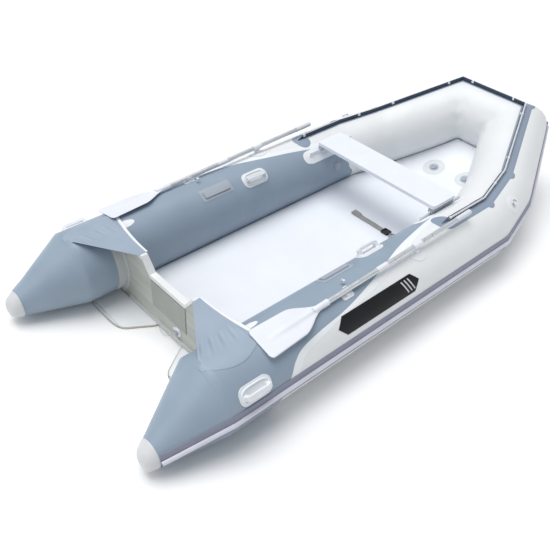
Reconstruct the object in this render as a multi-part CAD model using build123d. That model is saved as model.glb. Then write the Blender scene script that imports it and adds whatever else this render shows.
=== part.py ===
"""Inflatable dinghy with an inflated deck, a rigid transom, a bench seat and a pair of oars.

Millimetres. +X points to the bow, +Y to port and +Z up. Lengths along the hull are measured
forward from the stern ends of the side tubes; the finished pieces are then moved so that the
origin lies in the middle of the hull's length, on the ground.
"""
import os
from math import acos, asin, atan2, cos, degrees, radians, sin, sqrt

from build123d import *

# ---- hull tubes -----------------------------------------------------------------------------
TUBE_R = 215.0              # radius of the inflated tubes
SIDE_Y = 612.0              # centre plane of each side tube
CONE_START = 389.0          # where the stern cones begin
CONE_END = 20.0             # where the cone's fabric ends, inside its cap
TIP_R = 58.0                # radius of the cone's small end
TIP_Y = SIDE_Y + 38.0       # the cones toe out a little
TIP_Z = TUBE_R - 116.0      # and droop
BEND_X = 2545.0             # first bow joint
QUARTER = (BEND_X + 350.0, SIDE_Y - 95.0, TUBE_R + 37.0)    # second bow joint
SHOULDER = (BEND_X + 910.0, SIDE_Y - 385.0, TUBE_R + 210.0)     # third bow joint, at the flat front
SOFT_GAP = 0.3              # clearance between a glued piece and the tube below it
CAP_LENGTH = 58.0
CAP_WALL = 3.5

# ---- deck, keel and bottom ------------------------------------------------------------------
DECK_TOP = 105.0
DECK_THICKNESS = 70.0
DECK_INSET = 142.0          # deck edge inboard of the tubes' centre line
DECK_RISE_START = 2550.0
DECK_RISE_RADIUS = 1575.0
SKIN_THICKNESS = 2.0
SKIN_INSET = 35.0
SKIN_RISE_RADIUS = 2197.0
KEEL_WIDTH = 120.0
KEEL_END = 2500.0

# ---- transom --------------------------------------------------------------------------------
TRANSOM_X = 620.0           # aft face
TRANSOM_THICKNESS = 30.0
TRANSOM_TOP = 2 * TUBE_R - 5.5
TRANSOM_HALF_WIDTH = SIDE_Y - 172.0
MOTOR_CUT_HALF = 154.0
MOTOR_CUT_Z = TRANSOM_TOP - 85.5
MOTOR_CUT_SLOPE = 68.0
CAP_TOP_THICKNESS = 5.0
CAP_SIDE_THICKNESS = 4.0
CAP_LIP = 20.0
FLANGE_THICKNESS = 3.0
PAD_THICKNESS = 4.0
DRAIN_Y = -75.0
DRAIN_Z = 90.0
LANYARD_R = 1.2
LANYARD_ROUTE = [           # the last point ends at the board's aft face
    (614.5, -41, 84), (612, -38, 66), (606, -30, 45), (600, -16, 26), (594, 4, 14), (589, 26, 12),
    (587, 48, 20), (590, 64, 34), (598, 72, 50), (607, 77, 63), (618.4, 80, 72),
]

# ---- rails, ridge, flap, lifeline -----------------------------------------------------------
RAIL_HALF_ANGLE = 13.0
RAIL_BASE_THICKNESS = 4.0
RAIL_RIB_R = 14.0
RIB_GAP = 0.6
RIDGE_HALF_ANGLE = 13.0
RIDGE_THICKNESS = 1.7
RIDGE_START = 2105.0
FLAP_START = 2140.0
FLAP_THICKNESS = 3.0
FLAP_HEIGHT = 30.0
FLAP_SLANT = 60.0
ROPE_R = 4.5
ROPE_START = 2195.0
ROPE_HEIGHT = 22.0
EYELET_BORE_GAP = 0.3
EYELET_WALL = 1.3
EYELET_GAP = 0.8
BUTTON_GAP = 0.8

# ---- seat -----------------------------------------------------------------------------------
SEAT_X = 2311.0
SEAT_DEPTH = 218.0
SEAT_HALF_WIDTH = SIDE_Y - 118.0
SEAT_TOP = 2 * TUBE_R + 23.5
SEAT_THICKNESS = 22.0
SEAT_TRAVEL = 80.0
BEAD_R = 4.0
BEAD_GAP = 0.6
BEAD_Y = SIDE_Y - 142.0
BEAD_Z = SEAT_TOP - 48.5
HOOK_WIDTH = 30.0

# ---- oars -----------------------------------------------------------------------------------
OAR_OFFSET = 64.0           # the oars lie outboard of the tubes' centre plane
LOCK_X = 1818.0
LOCK_Z = 2 * TUBE_R + 34.5
CLIP_X = 1257.0
CLIP_Z = 2 * TUBE_R + 17.0
SHAFT_R = 14.0
GRIP_END_X = 2300.0
GRIP_LENGTH = 130.0
GRIP_R = 16.0
BLADE_TIP_X = 670.0
BLADE_ROOT_X = 1090.0
BLADE_WIDTH = 190.0
BLADE_THICKNESS = 8.0
BLADE_ROLL = 13.0           # the blade lies tilted to follow the tube
BUTTON_X = 1527.0
PIN_R = 6.0
PIN_GAP = 0.05
PIN_LENGTH = 20.0
COLLAR_R = 17.5
COLLAR_LENGTH = 64.0
SWIVEL_TOP_GAP = 0.5

# ---- fittings -------------------------------------------------------------------------------
HANDLE_LENGTH = 190.0
HANDLE_WIDTH = 100.0
HANDLE_RISE = 44.0
HANDLE_BAR = 22.0
AFT_HANDLE = (541.0, 28.5)          # place along the tube and angle above outboard
INNER_HANDLE = (1640.0, 125.0)
HOLDER_PAD = (1345.0, 119.0)
TUBE_VALVE = (2320.0, 166.0)
DECK_VALVE = (2990.0, 60.0)
KEEL_VALVE = (3020.0, -190.0)
VALVE_R = 33.0
VALVE_CAP_R = 22.0
VALVE_CAP_HEIGHT = 11.0
TOW_RING_X = 2700.0
TOW_RING_ANGLE = 43.0
RING_R = 24.0
RING_WIRE_R = 3.5
PANEL_START = 1100.0
PANEL_END = 1730.0
PANEL_ANGLE = 36.0
STRAP_X = 2180.0
STRAP_WIDTH = 38.0

UP = Vector(0, 0, 1)


# ---- path of the tubes, port side aft to starboard side aft -----------------------------------
PORT_POINTS = [
    Vector(CONE_START, SIDE_Y, TUBE_R),
    Vector(BEND_X, SIDE_Y, TUBE_R),
    Vector(*QUARTER),
    Vector(*SHOULDER),
]
PATH = PORT_POINTS + [Vector(p.X, -p.Y, p.Z) for p in reversed(PORT_POINTS)]
LEGS = list(zip(PATH[:-1], PATH[1:]))


def leg_direction(index):
    start, end = LEGS[index]
    return (end - start).normalized()


def outboard(direction):
    """Level direction pointing away from the cockpit."""
    return UP.cross(direction).normalized()


def joint_plane(index):
    """Mitre plane at the start of a leg; the outermost ones are square to their tube."""
    if index == 0:
        return Plane(origin=PATH[0], z_dir=leg_direction(0))
    if index == len(LEGS):
        return Plane(origin=PATH[-1], z_dir=leg_direction(len(LEGS) - 1))
    bisector = (leg_direction(index - 1) + leg_direction(index)).normalized()
    return Plane(origin=PATH[index], z_dir=bisector)


def leg_solid(index, section, reach=400.0):
    """A section drawn outboard-and-up, run along one leg and mitred at both joints."""
    start, end = LEGS[index]
    direction = leg_direction(index)
    first = reach if index > 0 else 0.0
    last = reach if index < len(LEGS) - 1 else 0.0
    plane = Plane(origin=start - direction * first, x_dir=outboard(direction), z_dir=direction)
    solid = extrude(plane * section, amount=(end - start).length + first + last)
    if index > 0:
        solid = split(solid, bisect_by=joint_plane(index), keep=Keep.TOP)
    if index < len(LEGS) - 1:
        solid = split(solid, bisect_by=joint_plane(index + 1), keep=Keep.BOTTOM)
    return solid


def sector(inner, outer, start, end):
    """Part of a ring around a tube's centre: 0 degrees is outboard, 90 is up."""
    far = CenterArc((0, 0), outer, start, end - start)
    near = CenterArc((0, 0), inner, start, end - start)
    return make_face([far, near, Line(near @ 0, far @ 0), Line(near @ 1, far @ 1)])


def mirrored(shape):
    return mirror(shape, about=Plane.XZ)


def surface_plane(x, angle, lift=0.0):
    """Plane touching the port tube: local x runs forward and local z points out of the tube."""
    normal = Vector(0, cos(radians(angle)), sin(radians(angle)))
    origin = Vector(x, SIDE_Y, TUBE_R) + normal * (TUBE_R + lift)
    return Plane(origin=origin, x_dir=(1, 0, 0), z_dir=normal)


def tube_shell(x_start, x_end, thickness, angle, half_angle, lift=SOFT_GAP):
    """Thin curved plate lying on the port tube."""
    section = sector(TUBE_R + lift, TUBE_R + lift + thickness, angle - half_angle, angle + half_angle)
    plane = Plane(origin=(x_start, SIDE_Y, TUBE_R), x_dir=(0, 1, 0), z_dir=(1, 0, 0))
    return extrude(plane * section, amount=x_end - x_start)


def tube_patch(x, angle, outline, thickness, lift=SOFT_GAP):
    """Curved patch whose outline is drawn flat, forward along local x."""
    box = outline.bounding_box()
    half_angle = degrees(asin(min(0.9, box.size.Y / 2 / TUBE_R))) + 4
    half = box.size.X / 2 + 1
    shell = tube_shell(x - half, x + half, thickness, angle, half_angle, lift)
    cutter = extrude(surface_plane(x, angle, -60.0) * outline, amount=100)
    return shell & cutter


def joined(shapes):
    result = shapes[0]
    for shape in shapes[1:]:
        result = result + shape
    return result


def solids_of(shape):
    return Compound(children=list(shape.solids()))


# ---- stern cones ----------------------------------------------------------------------------
def cone_share(x):
    return (CONE_START - x) / (CONE_START - CONE_END)


def cone_radius(x):
    return TUBE_R + (TIP_R - TUBE_R) * cone_share(x)


def cone_centre(x):
    share = cone_share(x)
    return Vector(x, SIDE_Y + (TIP_Y - SIDE_Y) * share, TUBE_R + (TIP_Z - TUBE_R) * share)


def cone_between(x_start, x_end, grow=0.0):
    faces = [
        Plane(origin=cone_centre(x), x_dir=(0, 1, 0), z_dir=(1, 0, 0)) * Circle(cone_radius(x) + grow)
        for x in (x_start, x_end)
    ]
    return loft(faces)


def side_tube():
    return leg_solid(0, Circle(TUBE_R)) + cone_between(CONE_END, CONE_START)


def cone_cap():
    outside = cone_between(0.0, CAP_LENGTH, CAP_WALL)
    inside = cone_between(CONE_END, CAP_LENGTH, SOFT_GAP)
    return outside - inside


# ---- deck, keel and bottom skin ---------------------------------------------------------------
def plan_outline(inset, x_start):
    """Closed outline seen from above, a fixed distance inboard of the tubes' centre line."""
    points = [(x_start, SIDE_Y - inset)]
    for index in range(1, len(LEGS)):
        before = outboard(leg_direction(index - 1))
        after = outboard(leg_direction(index))
        middle = (before + after).normalized()
        corner = PATH[index] - middle * (inset / middle.dot(before))
        points.append((corner.X, corner.Y))
    points.append((x_start, inset - SIDE_Y))
    return make_face(Polyline(*points, close=True))


def rising_sheet(x_start, top, thickness, radius, inset):
    """Level sheet that curves up towards the bow, cut to the plan outline and the tubes."""
    run = SHOULDER[0] - DECK_RISE_START
    turn = degrees(asin(run / radius))
    upper = [Line((x_start, top), (DECK_RISE_START, top))]
    upper.append(CenterArc((DECK_RISE_START, top + radius), radius, -90, turn))
    lower = [Line((x_start, top - thickness), (DECK_RISE_START, top - thickness))]
    lower.append(CenterArc((DECK_RISE_START, top + radius), radius + thickness, -90, turn))
    ends = [Line(lower[0] @ 0, upper[0] @ 0), Line(lower[1] @ 1, upper[1] @ 1)]
    profile = make_face(upper + lower + ends)
    sheet = extrude(Plane.XZ * profile, amount=SIDE_Y, both=True)
    sheet = sheet & extrude(plan_outline(inset, x_start), amount=600)
    for index in range(len(LEGS)):
        sheet = sheet - leg_solid(index, Circle(TUBE_R + SOFT_GAP))
    return max(sheet.solids(), key=lambda solid: solid.volume)


def deck():
    start = TRANSOM_X + TRANSOM_THICKNESS + CAP_SIDE_THICKNESS
    return rising_sheet(start, DECK_TOP, DECK_THICKNESS, DECK_RISE_RADIUS, DECK_INSET)


def bottom_skin():
    return rising_sheet(TRANSOM_X, SKIN_THICKNESS, SKIN_THICKNESS, SKIN_RISE_RADIUS, SKIN_INSET)


def keel():
    start = TRANSOM_X + TRANSOM_THICKNESS + CAP_SIDE_THICKNESS
    height = DECK_TOP - DECK_THICKNESS - SKIN_THICKNESS - 2 * SOFT_GAP
    section = RectangleRounded(KEEL_WIDTH, height, height * 0.4)
    plane = Plane(origin=(start, 0, SKIN_THICKNESS + SOFT_GAP + height / 2), x_dir=(0, 1, 0), z_dir=(1, 0, 0))
    return extrude(plane * section, amount=KEEL_END - start)


def stern_apron():
    """Thick-edged end of the bottom, aft of the transom, cut away in the middle for the motor."""
    outer = SIDE_Y - 62
    inner = MOTOR_CUT_HALF - 42
    aft = CONE_START + 28
    points = [
        (TRANSOM_X, outer), (aft + 35, outer), (aft + 5, outer - 45), (aft, inner + 170),
        (aft + 25, inner + 100), (TRANSOM_X - 25, inner + 5), (TRANSOM_X, inner),
    ]
    plate = extrude(make_face(Polyline(*points, close=True)), amount=8)
    return fillet(plate.edges().filter_by(Axis.Z).sort_by(Axis.X)[0:5], 20)


# ---- transom --------------------------------------------------------------------------------
def transom_top_line(shift):
    right = [
        (-TRANSOM_HALF_WIDTH, TRANSOM_TOP + shift),
        (-MOTOR_CUT_HALF - MOTOR_CUT_SLOPE, TRANSOM_TOP + shift),
        (-MOTOR_CUT_HALF, MOTOR_CUT_Z + shift),
    ]
    return right + [(-y, z) for y, z in reversed(right)]


def across(x, face, depth):
    """A face drawn in y and z, standing at x and as deep as given, forward."""
    plane = Plane(origin=(x, 0, 0), x_dir=(0, 1, 0), z_dir=(1, 0, 0))
    return extrude(plane * face, amount=depth)


def tube_bore(x, depth, clearance):
    """Room for both side tubes, to be cut from what stands between them."""
    circle = Pos(SIDE_Y, TUBE_R) * Circle(TUBE_R + clearance)
    other = Pos(-SIDE_Y, TUBE_R) * Circle(TUBE_R + clearance)
    return across(x, circle, depth) + across(x, other, depth)


def transom_board():
    top = transom_top_line(0)
    bottom = SKIN_THICKNESS + SOFT_GAP
    width = SIDE_Y - 40
    outline = Polyline(
        (-width, bottom), (-width, 180), (-TRANSOM_HALF_WIDTH, 300), *top,
        (TRANSOM_HALF_WIDTH, 300), (width, 180), (width, bottom), close=True,
    )
    board = across(TRANSOM_X, make_face(outline), TRANSOM_THICKNESS)
    board = board - tube_bore(TRANSOM_X - 1, TRANSOM_THICKNESS + 2, FLANGE_THICKNESS + 2 * SOFT_GAP)
    hole = Plane(origin=(TRANSOM_X, DRAIN_Y, DRAIN_Z), z_dir=(1, 0, 0)) * Circle(13.5)
    return board - extrude(hole, amount=TRANSOM_THICKNESS)


def transom_cap():
    upper = transom_top_line(CAP_TOP_THICKNESS)
    lower = reversed(transom_top_line(-CAP_LIP))
    band = make_face(Polyline(*upper, *lower, close=True))
    cover = across(TRANSOM_X - CAP_SIDE_THICKNESS, band, TRANSOM_THICKNESS + 2 * CAP_SIDE_THICKNESS)
    below = make_face(Polyline((-600, 0), *transom_top_line(0), (600, 0), close=True))
    return cover - across(TRANSOM_X, below, TRANSOM_THICKNESS)


def transom_flanges():
    """Rubber strips that tie the board to the tubes, with an upstand against its aft face."""
    strip = tube_shell(TRANSOM_X - 60, TRANSOM_X + TRANSOM_THICKNESS, FLANGE_THICKNESS, 187, 59)
    inner = TUBE_R + SOFT_GAP + FLANGE_THICKNESS
    plane = Plane(origin=(TRANSOM_X - 8, SIDE_Y, TUBE_R), x_dir=(0, 1, 0), z_dir=(1, 0, 0))
    upstand = extrude(plane * sector(inner - 1, inner + 24, 140, 233), amount=8)
    side = strip + upstand
    foot = Pos(TRANSOM_X - 4, 0, 26) * Box(8, 2 * (SIDE_Y - 215), 34)
    return Compound(children=[side, mirrored(side), foot])


def motor_pad():
    height = MOTOR_CUT_Z - CAP_LIP - 8 - 130
    middle = 130 + height / 2
    return Pos(TRANSOM_X - PAD_THICKNESS / 2, 0, middle) * Box(PAD_THICKNESS, 2 * MOTOR_CUT_HALF, height)


def drain_body():
    plane = Plane(origin=(TRANSOM_X, DRAIN_Y, DRAIN_Z), x_dir=(0, 1, 0), z_dir=(-1, 0, 0))
    flange = extrude(plane * Circle(29), amount=5)
    collar = extrude(plane * Circle(20), amount=12)
    sleeve = extrude(plane * Circle(13.2), amount=-TRANSOM_THICKNESS)
    bore = extrude(plane.offset(-TRANSOM_THICKNESS) * Circle(10.1), amount=TRANSOM_THICKNESS + 12)
    lug = Plane(origin=(TRANSOM_X, DRAIN_Y + 34, DRAIN_Z), x_dir=(0, 1, 0), z_dir=(-1, 0, 0))
    eye = extrude(lug * (Circle(9) - Circle(3)), amount=4)
    return flange + collar + sleeve - bore + eye


def drain_plug():
    plane = Plane(origin=(TRANSOM_X - 12, DRAIN_Y, DRAIN_Z), x_dir=(0, 1, 0), z_dir=(-1, 0, 0))
    head = extrude(plane * Circle(17), amount=5)
    grip = extrude(plane.offset(5) * Rectangle(24, 6), amount=9)
    stem = extrude(plane * Circle(10.0), amount=-28)
    return head + grip + stem


def plug_lanyard():
    """Thin cord from the drain's eye to the board, hanging in a loop."""
    points = [Vector(*point) for point in LANYARD_ROUTE]
    radii = []
    for before, here, after in zip(points, points[1:], points[2:]):
        turn = (here - before).get_angle(after - here)
        shorter = min((here - before).length, (after - here).length)
        radii.append(0.45 * shorter / (sin(radians(turn / 2)) / cos(radians(turn / 2))))
    path = FilletPolyline(*points, radius=radii)
    return sweep(Plane(origin=path @ 0, z_dir=path % 0) * Circle(LANYARD_R), path=path)


def gusset():
    """Triangle of fabric from the tube's crown to the transom's upper corner."""
    level = TRANSOM_TOP + CAP_TOP_THICKNESS + 0.8
    ahead = TRANSOM_X + TRANSOM_THICKNESS
    inner = MOTOR_CUT_HALF + MOTOR_CUT_SLOPE
    points = [(300, SIDE_Y - 12), (ahead + 50, SIDE_Y - 45), (ahead + 12, inner + 5), (TRANSOM_X - 14, inner + 12)]
    return Pos(0, 0, level) * extrude(make_face(Polyline(*points, close=True)), amount=1.5)


# ---- pieces that run round the hull -----------------------------------------------------------
def joint_twist(index):
    """How far a line along the tube turns, in degrees, when it passes a joint."""
    start = LEGS[index - 1][0]
    before = leg_direction(index - 1)
    after = leg_direction(index)
    rise = before.cross(outboard(before))
    normal = (before + after).normalized()
    point = start + rise * TUBE_R
    point = point + before * ((PATH[index] - point).dot(normal) / before.dot(normal))
    arm = point - PATH[index]
    side = outboard(after)
    return degrees(atan2(arm.dot(after.cross(side)), arm.dot(side))) - 90


def leg_turns(index):
    """Turn of a leg's frame at its two ends, so that strips meet at the joints."""
    first = joint_twist(index) / 2 if index > 0 else 0.0
    last = joint_twist(index + 1) / -2 if index < len(LEGS) - 1 else 0.0
    return first, last


def hull_point(index, share, angle, lift):
    """Point above the tube's surface, a share of the way along a leg."""
    start, end = LEGS[index]
    direction = leg_direction(index)
    first, last = leg_turns(index)
    turned = radians(angle + first + (last - first) * share)
    side = outboard(direction)
    arm = side * cos(turned) + direction.cross(side) * sin(turned)
    point = start + (end - start) * share + arm * (TUBE_R + lift)
    if share not in (0, 1):
        return point
    normal = joint_plane(index + share).z_dir
    place = LEGS[index][share]
    return point + direction * ((place - point).dot(normal) / direction.dot(normal))


def strip_on_leg(index, corners, shares):
    """Solid strip along part of a leg; its corners are angles and heights above the tube."""
    faces = []
    for share in shares:
        points = [hull_point(index, share, angle, lift) for angle, lift in corners]
        faces.append(make_face(Polyline(*points, close=True)))
    return [loft([near, far], ruled=True) for near, far in zip(faces, faces[1:])]


def share_at(x):
    return (x - CONE_START) / (BEND_X - CONE_START)


def strip_round_hull(corners, x_start):
    """The strip from a station on the port tube round the bow to the same station to starboard."""
    first_leg = joined(strip_on_leg(0, corners, [share_at(x_start), 0.98, 1]))
    half = [first_leg, joined(strip_on_leg(1, corners, [0, 0.5, 1])), joined(strip_on_leg(2, corners, [0, 0.5, 1]))]
    front = joined(strip_on_leg(3, corners, [0, 0.5]))
    return half + [front + mirrored(front)] + [mirrored(piece) for piece in half]


def band_corners(centre, half_angle, low, high, steps=4):
    """Corners of a thin curved band."""
    angles = [centre - half_angle + 2 * half_angle * step / steps for step in range(steps + 1)]
    bulge = (TUBE_R + high) * (1 - cos(radians(half_angle / steps)))
    return [(angle, low + bulge) for angle in angles] + [(angle, high + bulge) for angle in reversed(angles)]


def cone_line(x):
    centre = cone_centre(x)
    return Vector(x, centre.Y + cone_radius(x) + SOFT_GAP, centre.Z)


def rail_on_cone(section):
    """Run a section along the cone's outermost line, from the cap to the straight tube."""
    start = cone_line(CAP_LENGTH + 7)
    end = cone_line(CONE_START)
    direction = (end - start).normalized()
    plane = Plane(origin=start, x_dir=outboard(direction), z_dir=direction)
    solid = extrude(plane * section, amount=(end - start).length + 60)
    return split(solid, bisect_by=Plane(origin=(CONE_START, 0, 0), z_dir=(1, 0, 0)), keep=Keep.BOTTOM)


def rail_base():
    corners = band_corners(0, RAIL_HALF_ANGLE, SOFT_GAP, SOFT_GAP + RAIL_BASE_THICKNESS)
    height = 2 * TUBE_R * sin(radians(RAIL_HALF_ANGLE))
    flat = Pos(RAIL_BASE_THICKNESS / 2, 0) * Rectangle(RAIL_BASE_THICKNESS, height * 0.6)
    side = rail_on_cone(flat)
    return Compound(children=strip_round_hull(corners, CONE_START + 1) + [side, mirrored(side)])


RAIL_FACE = band_corners(0, RAIL_HALF_ANGLE, 0, SOFT_GAP + RAIL_BASE_THICKNESS)[-1][1]


def rail_rib():
    corners = []
    for step in range(7):
        turn = radians(-90 + 30 * step)
        out = RAIL_FACE + RIB_GAP + RAIL_RIB_R * cos(turn)
        corners.append((degrees(RAIL_RIB_R * sin(turn) / (TUBE_R + out)), out))
    half_round = Circle(RAIL_RIB_R) & Pos(RAIL_RIB_R / 2 + 0.3, 0) * Rectangle(RAIL_RIB_R, 2 * RAIL_RIB_R)
    side = rail_on_cone(Pos(RAIL_BASE_THICKNESS, 0) * half_round)
    return Compound(children=strip_round_hull(corners, CONE_START + 1) + [side, mirrored(side)])


def ridge_base():
    corners = band_corners(90, RIDGE_HALF_ANGLE, SOFT_GAP, SOFT_GAP + RIDGE_THICKNESS)
    return Compound(children=strip_round_hull(corners, RIDGE_START))


FLAP_FOOT = band_corners(90, RIDGE_HALF_ANGLE, 0, SOFT_GAP + RIDGE_THICKNESS)[-1][1] + 0.1


def spray_flap():
    """Low standing strip along the crown of the bow, cut at a slant at its aft ends."""
    half = degrees(FLAP_THICKNESS / 2 / (TUBE_R + FLAP_HEIGHT / 2))
    corners = [(90 - half, FLAP_FOOT), (90 - half, FLAP_HEIGHT), (90 + half, FLAP_HEIGHT), (90 + half, FLAP_FOOT)]
    slant = Plane(origin=(FLAP_START, 0, 2 * TUBE_R), z_dir=(FLAP_HEIGHT, 0, -FLAP_SLANT))
    pieces = strip_round_hull(corners, FLAP_START)
    aft = split(pieces[0], bisect_by=slant, keep=Keep.TOP)
    return Compound(children=[aft] + pieces[1:-3] + [mirrored(aft)] + pieces[-2:])


ROPE_OUT = FLAP_THICKNESS / 2 + EYELET_WALL + EYELET_BORE_GAP + ROPE_R + EYELET_GAP
ROPE_ANGLE = 90 - degrees(ROPE_OUT / (TUBE_R + ROPE_HEIGHT))


def rope_points():
    """Corner points of the lifeline, beside the flap."""
    places = [(0, share_at(ROPE_START)), (1, 0), (2, 0), (3, 0)]
    port = [hull_point(index, share, ROPE_ANGLE, ROPE_HEIGHT) for index, share in places]
    return port + [Vector(point.X, -point.Y, point.Z) for point in reversed(port)]


def lifeline():
    path = FilletPolyline(*rope_points(), radius=12)
    return sweep(Plane(origin=path @ 0, z_dir=path % 0) * Circle(ROPE_R), path=path)


EYELET_SHARES = [(0, [0.2, 0.75]), (1, [0.5]), (2, [0.17, 0.83]), (3, [0.17])]
EYELET_LENGTH = 12.0
BUTTON_R = 7.5


def rope_eyelet(index, share):
    """Ring round the lifeline and its button on the flap's other face."""
    start, end = rope_points()[index:index + 2]
    centre = start + (end - start) * share
    direction = (end - start).normalized()
    leg_share = share_at(centre.X) if index == 0 else share
    apart = centre - hull_point(index, leg_share, 90, ROPE_HEIGHT)
    side = (apart - direction * apart.dot(direction)).normalized()
    plane = Plane(origin=centre - direction * (EYELET_LENGTH / 2), x_dir=side, z_dir=direction)
    bore = ROPE_R + EYELET_BORE_GAP
    ring = extrude(plane * (Circle(bore + EYELET_WALL) - Circle(bore)), amount=EYELET_LENGTH)
    back = Plane(origin=centre - side * (ROPE_OUT + FLAP_THICKNESS / 2 + BUTTON_GAP), z_dir=-side)
    return [ring, extrude(back * Circle(BUTTON_R), amount=2.5)]


def rope_eyelets():
    """All the lifeline's rings and buttons, and the two eyes on the transom."""
    pieces = []
    for index, shares in EYELET_SHARES:
        for share in shares:
            pair = rope_eyelet(index, share)
            pieces += pair + [mirrored(piece) for piece in pair]
    height = TRANSOM_TOP - 60
    eye = Pos(TRANSOM_X - 2.4, TRANSOM_HALF_WIDTH - 60, height) * Rot(0, 90, 0) * Torus(9, 2.2)
    return Compound(children=pieces + [eye, mirrored(eye)])


# ---- seat -----------------------------------------------------------------------------------
SEAT_BOTTOM = SEAT_TOP - SEAT_THICKNESS


def seat_board():
    board = Pos(SEAT_X, 0, SEAT_TOP - SEAT_THICKNESS / 2) * Box(SEAT_DEPTH, 2 * SEAT_HALF_WIDTH, SEAT_THICKNESS)
    return fillet(board.edges().filter_by(Axis.Z), 18)


def seat_rails():
    reach = SEAT_DEPTH / 2 + SEAT_TRAVEL + 12
    drop = BEAD_Y - SIDE_Y
    angle = degrees(atan2(sqrt(TUBE_R**2 - drop**2), drop))
    base = tube_shell(SEAT_X - reach, SEAT_X + reach, 1.6, angle, 13)
    foot = TUBE_R + sqrt((TUBE_R + 1) ** 2 - drop**2)
    web = Pos(SEAT_X, BEAD_Y, (foot + BEAD_Z) / 2) * Box(2 * reach, 2.4, BEAD_Z - foot)
    plane = Plane(origin=(SEAT_X - reach, BEAD_Y, BEAD_Z), z_dir=(1, 0, 0))
    rail = base + web + extrude(plane * Circle(BEAD_R), amount=2 * reach)
    return Compound(children=[rail, mirrored(rail)])


def seat_hooks():
    bottom = BEAD_Z - BEAD_R - 4
    block = Pos(SEAT_X, BEAD_Y, (bottom + SEAT_BOTTOM) / 2) * Box(SEAT_DEPTH - 8, HOOK_WIDTH, SEAT_BOTTOM - bottom)
    plane = Plane(origin=(SEAT_X - SEAT_DEPTH, BEAD_Y, BEAD_Z), z_dir=(1, 0, 0))
    groove = extrude(plane * Circle(BEAD_R + BEAD_GAP), amount=2 * SEAT_DEPTH)
    slit = Pos(SEAT_X, BEAD_Y, BEAD_Z - 15) * Box(2 * SEAT_DEPTH, 2.4 + 2 * BEAD_GAP, 30)
    hook = block - groove - slit
    return Compound(children=[hook, mirrored(hook)])


# ---- oars -----------------------------------------------------------------------------------
OAR_SLOPE = (LOCK_Z - CLIP_Z) / (LOCK_X - CLIP_X)
OAR_Y = SIDE_Y + OAR_OFFSET
OAR_DIRECTION = Vector(1, 0, OAR_SLOPE).normalized()


def oar_axis(x):
    return Vector(x, OAR_Y, LOCK_Z + (x - LOCK_X) * OAR_SLOPE)


def along_oar(x_start, x_end, section):
    start = oar_axis(x_start)
    plane = Plane(origin=start, x_dir=(0, 1, 0), z_dir=OAR_DIRECTION)
    return extrude(plane * section, amount=(oar_axis(x_end) - start).length)


SHAFT_START_X = BLADE_ROOT_X - 60
GRIP_START_X = GRIP_END_X - GRIP_LENGTH


def oar_shaft():
    return along_oar(SHAFT_START_X, GRIP_START_X, Circle(SHAFT_R))


def oar_grip():
    grip = along_oar(GRIP_START_X, GRIP_END_X, Circle(GRIP_R))
    return fillet(grip.edges().sort_by(Axis.X)[-1], 6)


def oar_blade():
    """Flat blade that narrows into a socket round the shaft."""
    half = BLADE_WIDTH / 2
    tip = BLADE_TIP_X
    root = BLADE_ROOT_X - 20
    outline = Polyline(
        (tip, -half + 18), (tip + 25, -half), (tip + 210, -half + 8), (root - 60, -26), (root, -17),
        (root, 17), (root - 60, 26), (tip + 210, half - 8), (tip + 25, half), (tip, half - 18), close=True,
    )
    plane = Plane(origin=oar_axis(0), x_dir=OAR_DIRECTION, z_dir=Vector(-OAR_SLOPE, 0, 1))
    plate = extrude(plane.offset(-BLADE_THICKNESS / 2) * make_face(outline), amount=BLADE_THICKNESS)
    plate = plate.rotate(Axis(oar_axis(0), OAR_DIRECTION), -BLADE_ROLL)
    socket = along_oar(SHAFT_START_X - 12, BLADE_ROOT_X + 30, Circle(SHAFT_R + 3.5))
    bore = along_oar(SHAFT_START_X, BLADE_ROOT_X + 40, Circle(SHAFT_R))
    return plate + socket - bore


def oar_collar():
    """Sleeve on the shaft with the rowlock pin below it, and the joint button's band."""
    half = COLLAR_LENGTH / 2
    sleeve = along_oar(LOCK_X - half, LOCK_X + half, Circle(COLLAR_R) - Circle(SHAFT_R))
    seat_level = LOCK_Z - COLLAR_R - 1.5
    disc = Pos(LOCK_X, OAR_Y, seat_level + 3) * Cylinder(15, 6)
    pin = Pos(LOCK_X, OAR_Y, seat_level - PIN_LENGTH / 2) * Cylinder(PIN_R, PIN_LENGTH)
    shaft_room = along_oar(LOCK_X - half, LOCK_X + half, Circle(SHAFT_R))
    band = along_oar(BUTTON_X - 40, BUTTON_X + 40, Circle(SHAFT_R + 1.8) - Circle(SHAFT_R))
    return Compound(children=[sleeve + disc + pin - shaft_room, band])


def rowlock_base():
    """Rubber foot on the tube with the upright socket that the oar's pin turns in."""
    top = LOCK_Z - COLLAR_R - 1.5 - SWIVEL_TOP_GAP
    angle = degrees(acos(OAR_OFFSET / TUBE_R))
    foot = tube_patch(LOCK_X, angle, Circle(62), 3.5)
    post = Pos(LOCK_X, OAR_Y, top - 20) * Cylinder(20, 40)
    plane = Plane(origin=(LOCK_X - 40, SIDE_Y, TUBE_R), x_dir=(0, 1, 0), z_dir=(1, 0, 0))
    post = post - extrude(plane * Circle(TUBE_R + SOFT_GAP), amount=80)
    bore = Pos(LOCK_X, OAR_Y, top - 25) * Cylinder(PIN_R + PIN_GAP, 50)
    return foot + post - bore


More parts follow.
